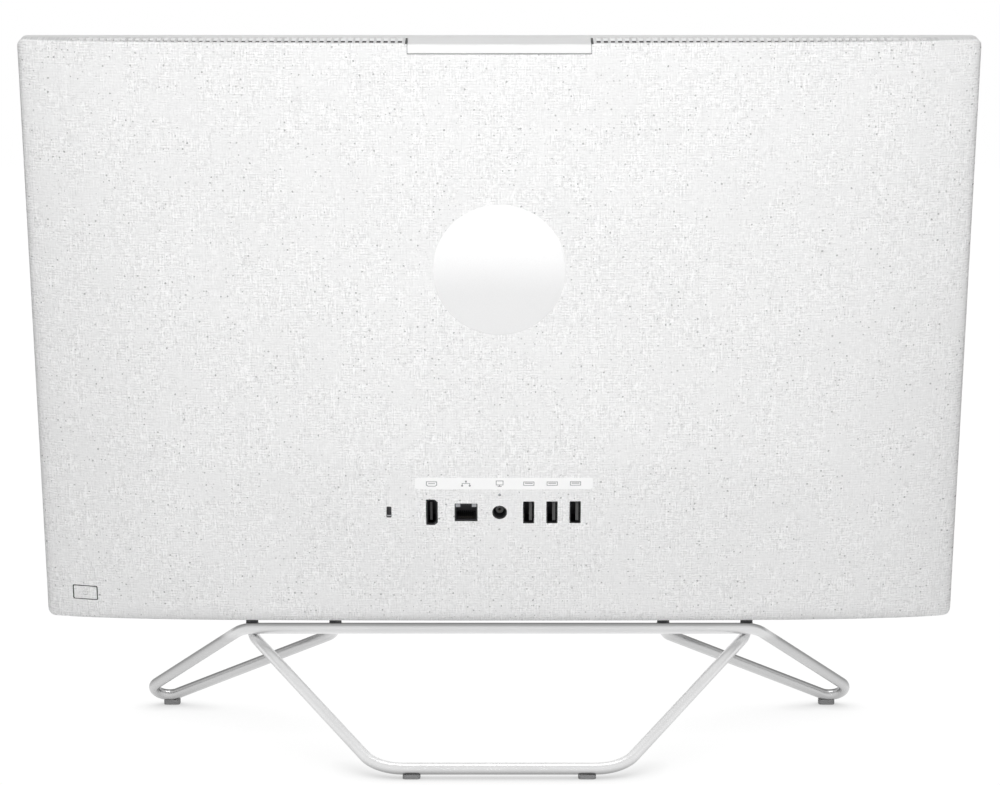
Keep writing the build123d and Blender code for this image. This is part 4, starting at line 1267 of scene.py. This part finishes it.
def spring_tab(x, side, z):
    """Bent tab on one side wall of a port shell."""
    bent = x - side * 0.35
    front, bend, rear = PORT_FACE - 5.0, PORT_FACE - 3.6, PORT_FACE - 0.6
    verts = [(x, rear, z - 0.9), (x, rear, z + 0.9), (bent, bend, z + 0.8),
             (bent, bend, z - 0.8), (x, front, z - 0.8), (x, front, z + 0.8)]
    return verts, [(0, 1, 2, 3), (3, 2, 5, 4), (0, 3, 4), (1, 5, 2), (0, 4, 5, 1)]


for side, side_name in ((1, "left"), (-1, "right")):
    lamp_x = PORTS["net"][0] + side * 4.75
    lamp = prism(round_rect(lamp_x - 1.35, lamp_x + 1.35, PORT_Z + 3.1, PORT_Z + 5.0, 0.3, 3),
                 PORT_FACE - 0.4, PORT_FACE + 0.16)
    make("net_lamp_" + side_name, lamp, "clear_guide", "display")

# floor of the power inlet round its centre pin
inlet_rings = [[(x, y, z) for x, z in circle(INLET_X, PORT_Z, radius, 48)]
               for radius, y in INLET_PROFILE]
make("power_inlet_floor", loft(inlet_rings, closed=True), "tongue_grey", "display", sharp=25)

# dark plate in front of the lock slot, closing it: it stands in for the shade inside the slot
make("lock_slot_shade_plate", box(60.4, 68.4, 26.5, 27.1, PORT_Z - 5.6, PORT_Z + 5.6), "post_sleeve",
     "display", sharp=30)

for i, port in enumerate(USB_PORTS):
    tabs = [spring_tab(PORTS[port][0] + side * 2.56, side, PORT_Z + rise)
            for side in (-1, 1) for rise in (-3.0, 3.0)]
    make("shell_springs_%d" % (i + 1), merge(tabs), "port_steel", "display", sharp=20)

# ---------------------------------------------------------------------------
# finishes of the CAD nodes that stay
# ---------------------------------------------------------------------------
slots = {part["node"]: part["material_slot"] for part in frame["record"].get("subparts", [])}
for node_name, obj in frame["nodes"].items():
    finish = "tongue_grey" if node_name == "port_tongues" else slots.get(node_name)
    obj.data.materials.clear()
    obj.data.materials.append(FINISH.get(finish, FINISH["black_plastic"]))

for node_name, width in (("webcam_housing", 0.35), ("hinge_bracket_left", 0.3),
                         ("hinge_bracket_right", 0.3)):
    bevel = frame["nodes"][node_name].modifiers.new("edge", "BEVEL")
    bevel.width = width * MM
    bevel.segments = 3
    bevel.limit_method = "ANGLE"
    bevel.angle_limit = math.radians(35.0)
    bevel.harden_normals = True
    bevel.use_clamp_overlap = True


# ---------------------------------------------------------------------------
# stage, in metres
# ---------------------------------------------------------------------------
def floor_material():
    """White floor; seen directly it is plain white but for a soft contact shade."""
    paint = Paint("floor_sweep")
    grain = paint.noise(paint.position(scale=1.0), scale=35.0, detail=3.0)
    paint.set(color=paint.grey(paint.ramp(grain, to=(0.47, 0.49))), rough=0.7, spec=0.1,
              normal=paint.bump(grain, strength=0.02, mm=0.05))

    def contact(distance, span, darkest):
        node = paint.node("ShaderNodeAmbientOcclusion", {"Distance": distance}, samples=8)
        return paint.ramp(paint.get(node, "AO"), span=span, to=(darkest, 1.0), smooth=False)

    shade = (contact(distance=0.016, span=(0.25, 0.95), darkest=0.72)
             * contact(distance=0.060, span=(0.35, 0.97), darkest=0.80))
    white = paint.glow(strength=1.02, color=paint.grey(shade))
    path = paint.node("ShaderNodeLightPath")
    seen = paint.calc("MAXIMUM", paint.get(path, "Is Camera Ray"),
                      paint.get(path, "Is Glossy Ray"))
    lit = paint.get(paint.node("ShaderNodeAddShader",
                               {0: paint.surface, 1: paint.glow(strength=0.10)}))
    paint.show(paint.choose(seen, lit, white))
    return paint.material


def build_floor(half=12.0):
    mesh = bpy.data.meshes.new("floor")
    mesh.from_pydata([(-half, -half, 0), (half, -half, 0), (half, half, 0), (-half, half, 0)],
                     [], [(0, 1, 2, 3)])
    mesh.materials.append(floor_material())
    floor = bpy.data.objects.new("floor", mesh)
    bpy.context.scene.collection.objects.link(floor)


def build_world():
    """Dim fill light, a bright sky for reflections, and plain white for the camera."""
    world = bpy.data.worlds.new("studio")
    bpy.context.scene.world = world
    nodes = Nodes(world, "ShaderNodeOutputWorld")
    path = nodes.node("ShaderNodeLightPath")
    direction = nodes.get(nodes.node("ShaderNodeTexCoord"), "Generated")
    sky_level = nodes.ramp(nodes.split(direction)[2], span=(0.30, 0.95), to=(1.0, 0.80),
                           smooth=False)
    fill, sky, backdrop = (nodes.glow(strength=level, kind="ShaderNodeBackground")
                           for level in (0.095, sky_level, 1.0))
    lighting = nodes.choose(nodes.get(path, "Is Glossy Ray"), fill, sky)
    nodes.show(nodes.choose(nodes.get(path, "Is Camera Ray"), lighting, backdrop))


# name, location, target, size, watts, shows in reflections
LAMPS = [
    ("low_key", (0.0, 1.2, 0.12), (0, 0.02, 0.24), (0.9, 0.2), 6.9, False),
    ("near_key", (0.0, 0.8, 0.75), (0, 0.02, 0.26), (0.4, 0.3), 3.6, False),
    ("side_left", (1.5, -0.06, 0.35), (0, -0.06, 0.25), (0.3, 0.7), 1.05, False),
    ("side_right", (-1.5, -0.06, 0.35), (0, -0.06, 0.25), (0.3, 0.7), 1.05, False),
    ("overhead", (0.0, -0.05, 1.7), (0, -0.05, 0.4), (1.3, 0.5), 6.2, True),
    ("front_high", (0.0, -1.6, 1.2), (0, 0, 0.25), (1.4, 1.0), 4.5, False),
    ("front_low", (0.0, -1.7, 0.34), (0, 0, 0.22), (1.4, 0.45), 12.0, False),
]


def area_lamp(name, location, target, size, watts, reflected):
    light = bpy.data.lights.new(name, "AREA")
    light.shape = "RECTANGLE"
    light.size, light.size_y = size
    light.energy = watts
    lamp = bpy.data.objects.new(name, light)
    bpy.context.scene.collection.objects.link(lamp)
    lamp.location = location
    aim = Vector(target) - Vector(location)
    lamp.rotation_euler = aim.to_track_quat("-Z", "Y").to_euler()
    lamp.visible_glossy = reflected
    lamp.visible_camera = False


def build_camera():
    """Behind the computer, looking slightly down at its rear cover."""
    data = bpy.data.cameras.new("camera")
    data.lens = 100.8
    data.sensor_width = 36.0
    data.shift_x = 0.0007
    data.clip_end = 100.0
    camera = bpy.data.objects.new("camera", data)
    bpy.context.scene.collection.objects.link(camera)
    distance_mm, height, down_degrees = 1665.0, 0.378, 6.16
    camera.location = (0.0, (distance_mm + SHIFT_Y) * MM, height)
    camera.rotation_euler = (math.radians(90 - down_degrees), 0.0, math.radians(180))
    bpy.context.scene.camera = camera


build_floor()
build_world()
for row in LAMPS:
    area_lamp(*row)
build_camera()
bpy.context.scene.view_settings.view_transform = "Standard"
bpy.context.scene.view_settings.look = "None"

bpy.context.view_layer.update()
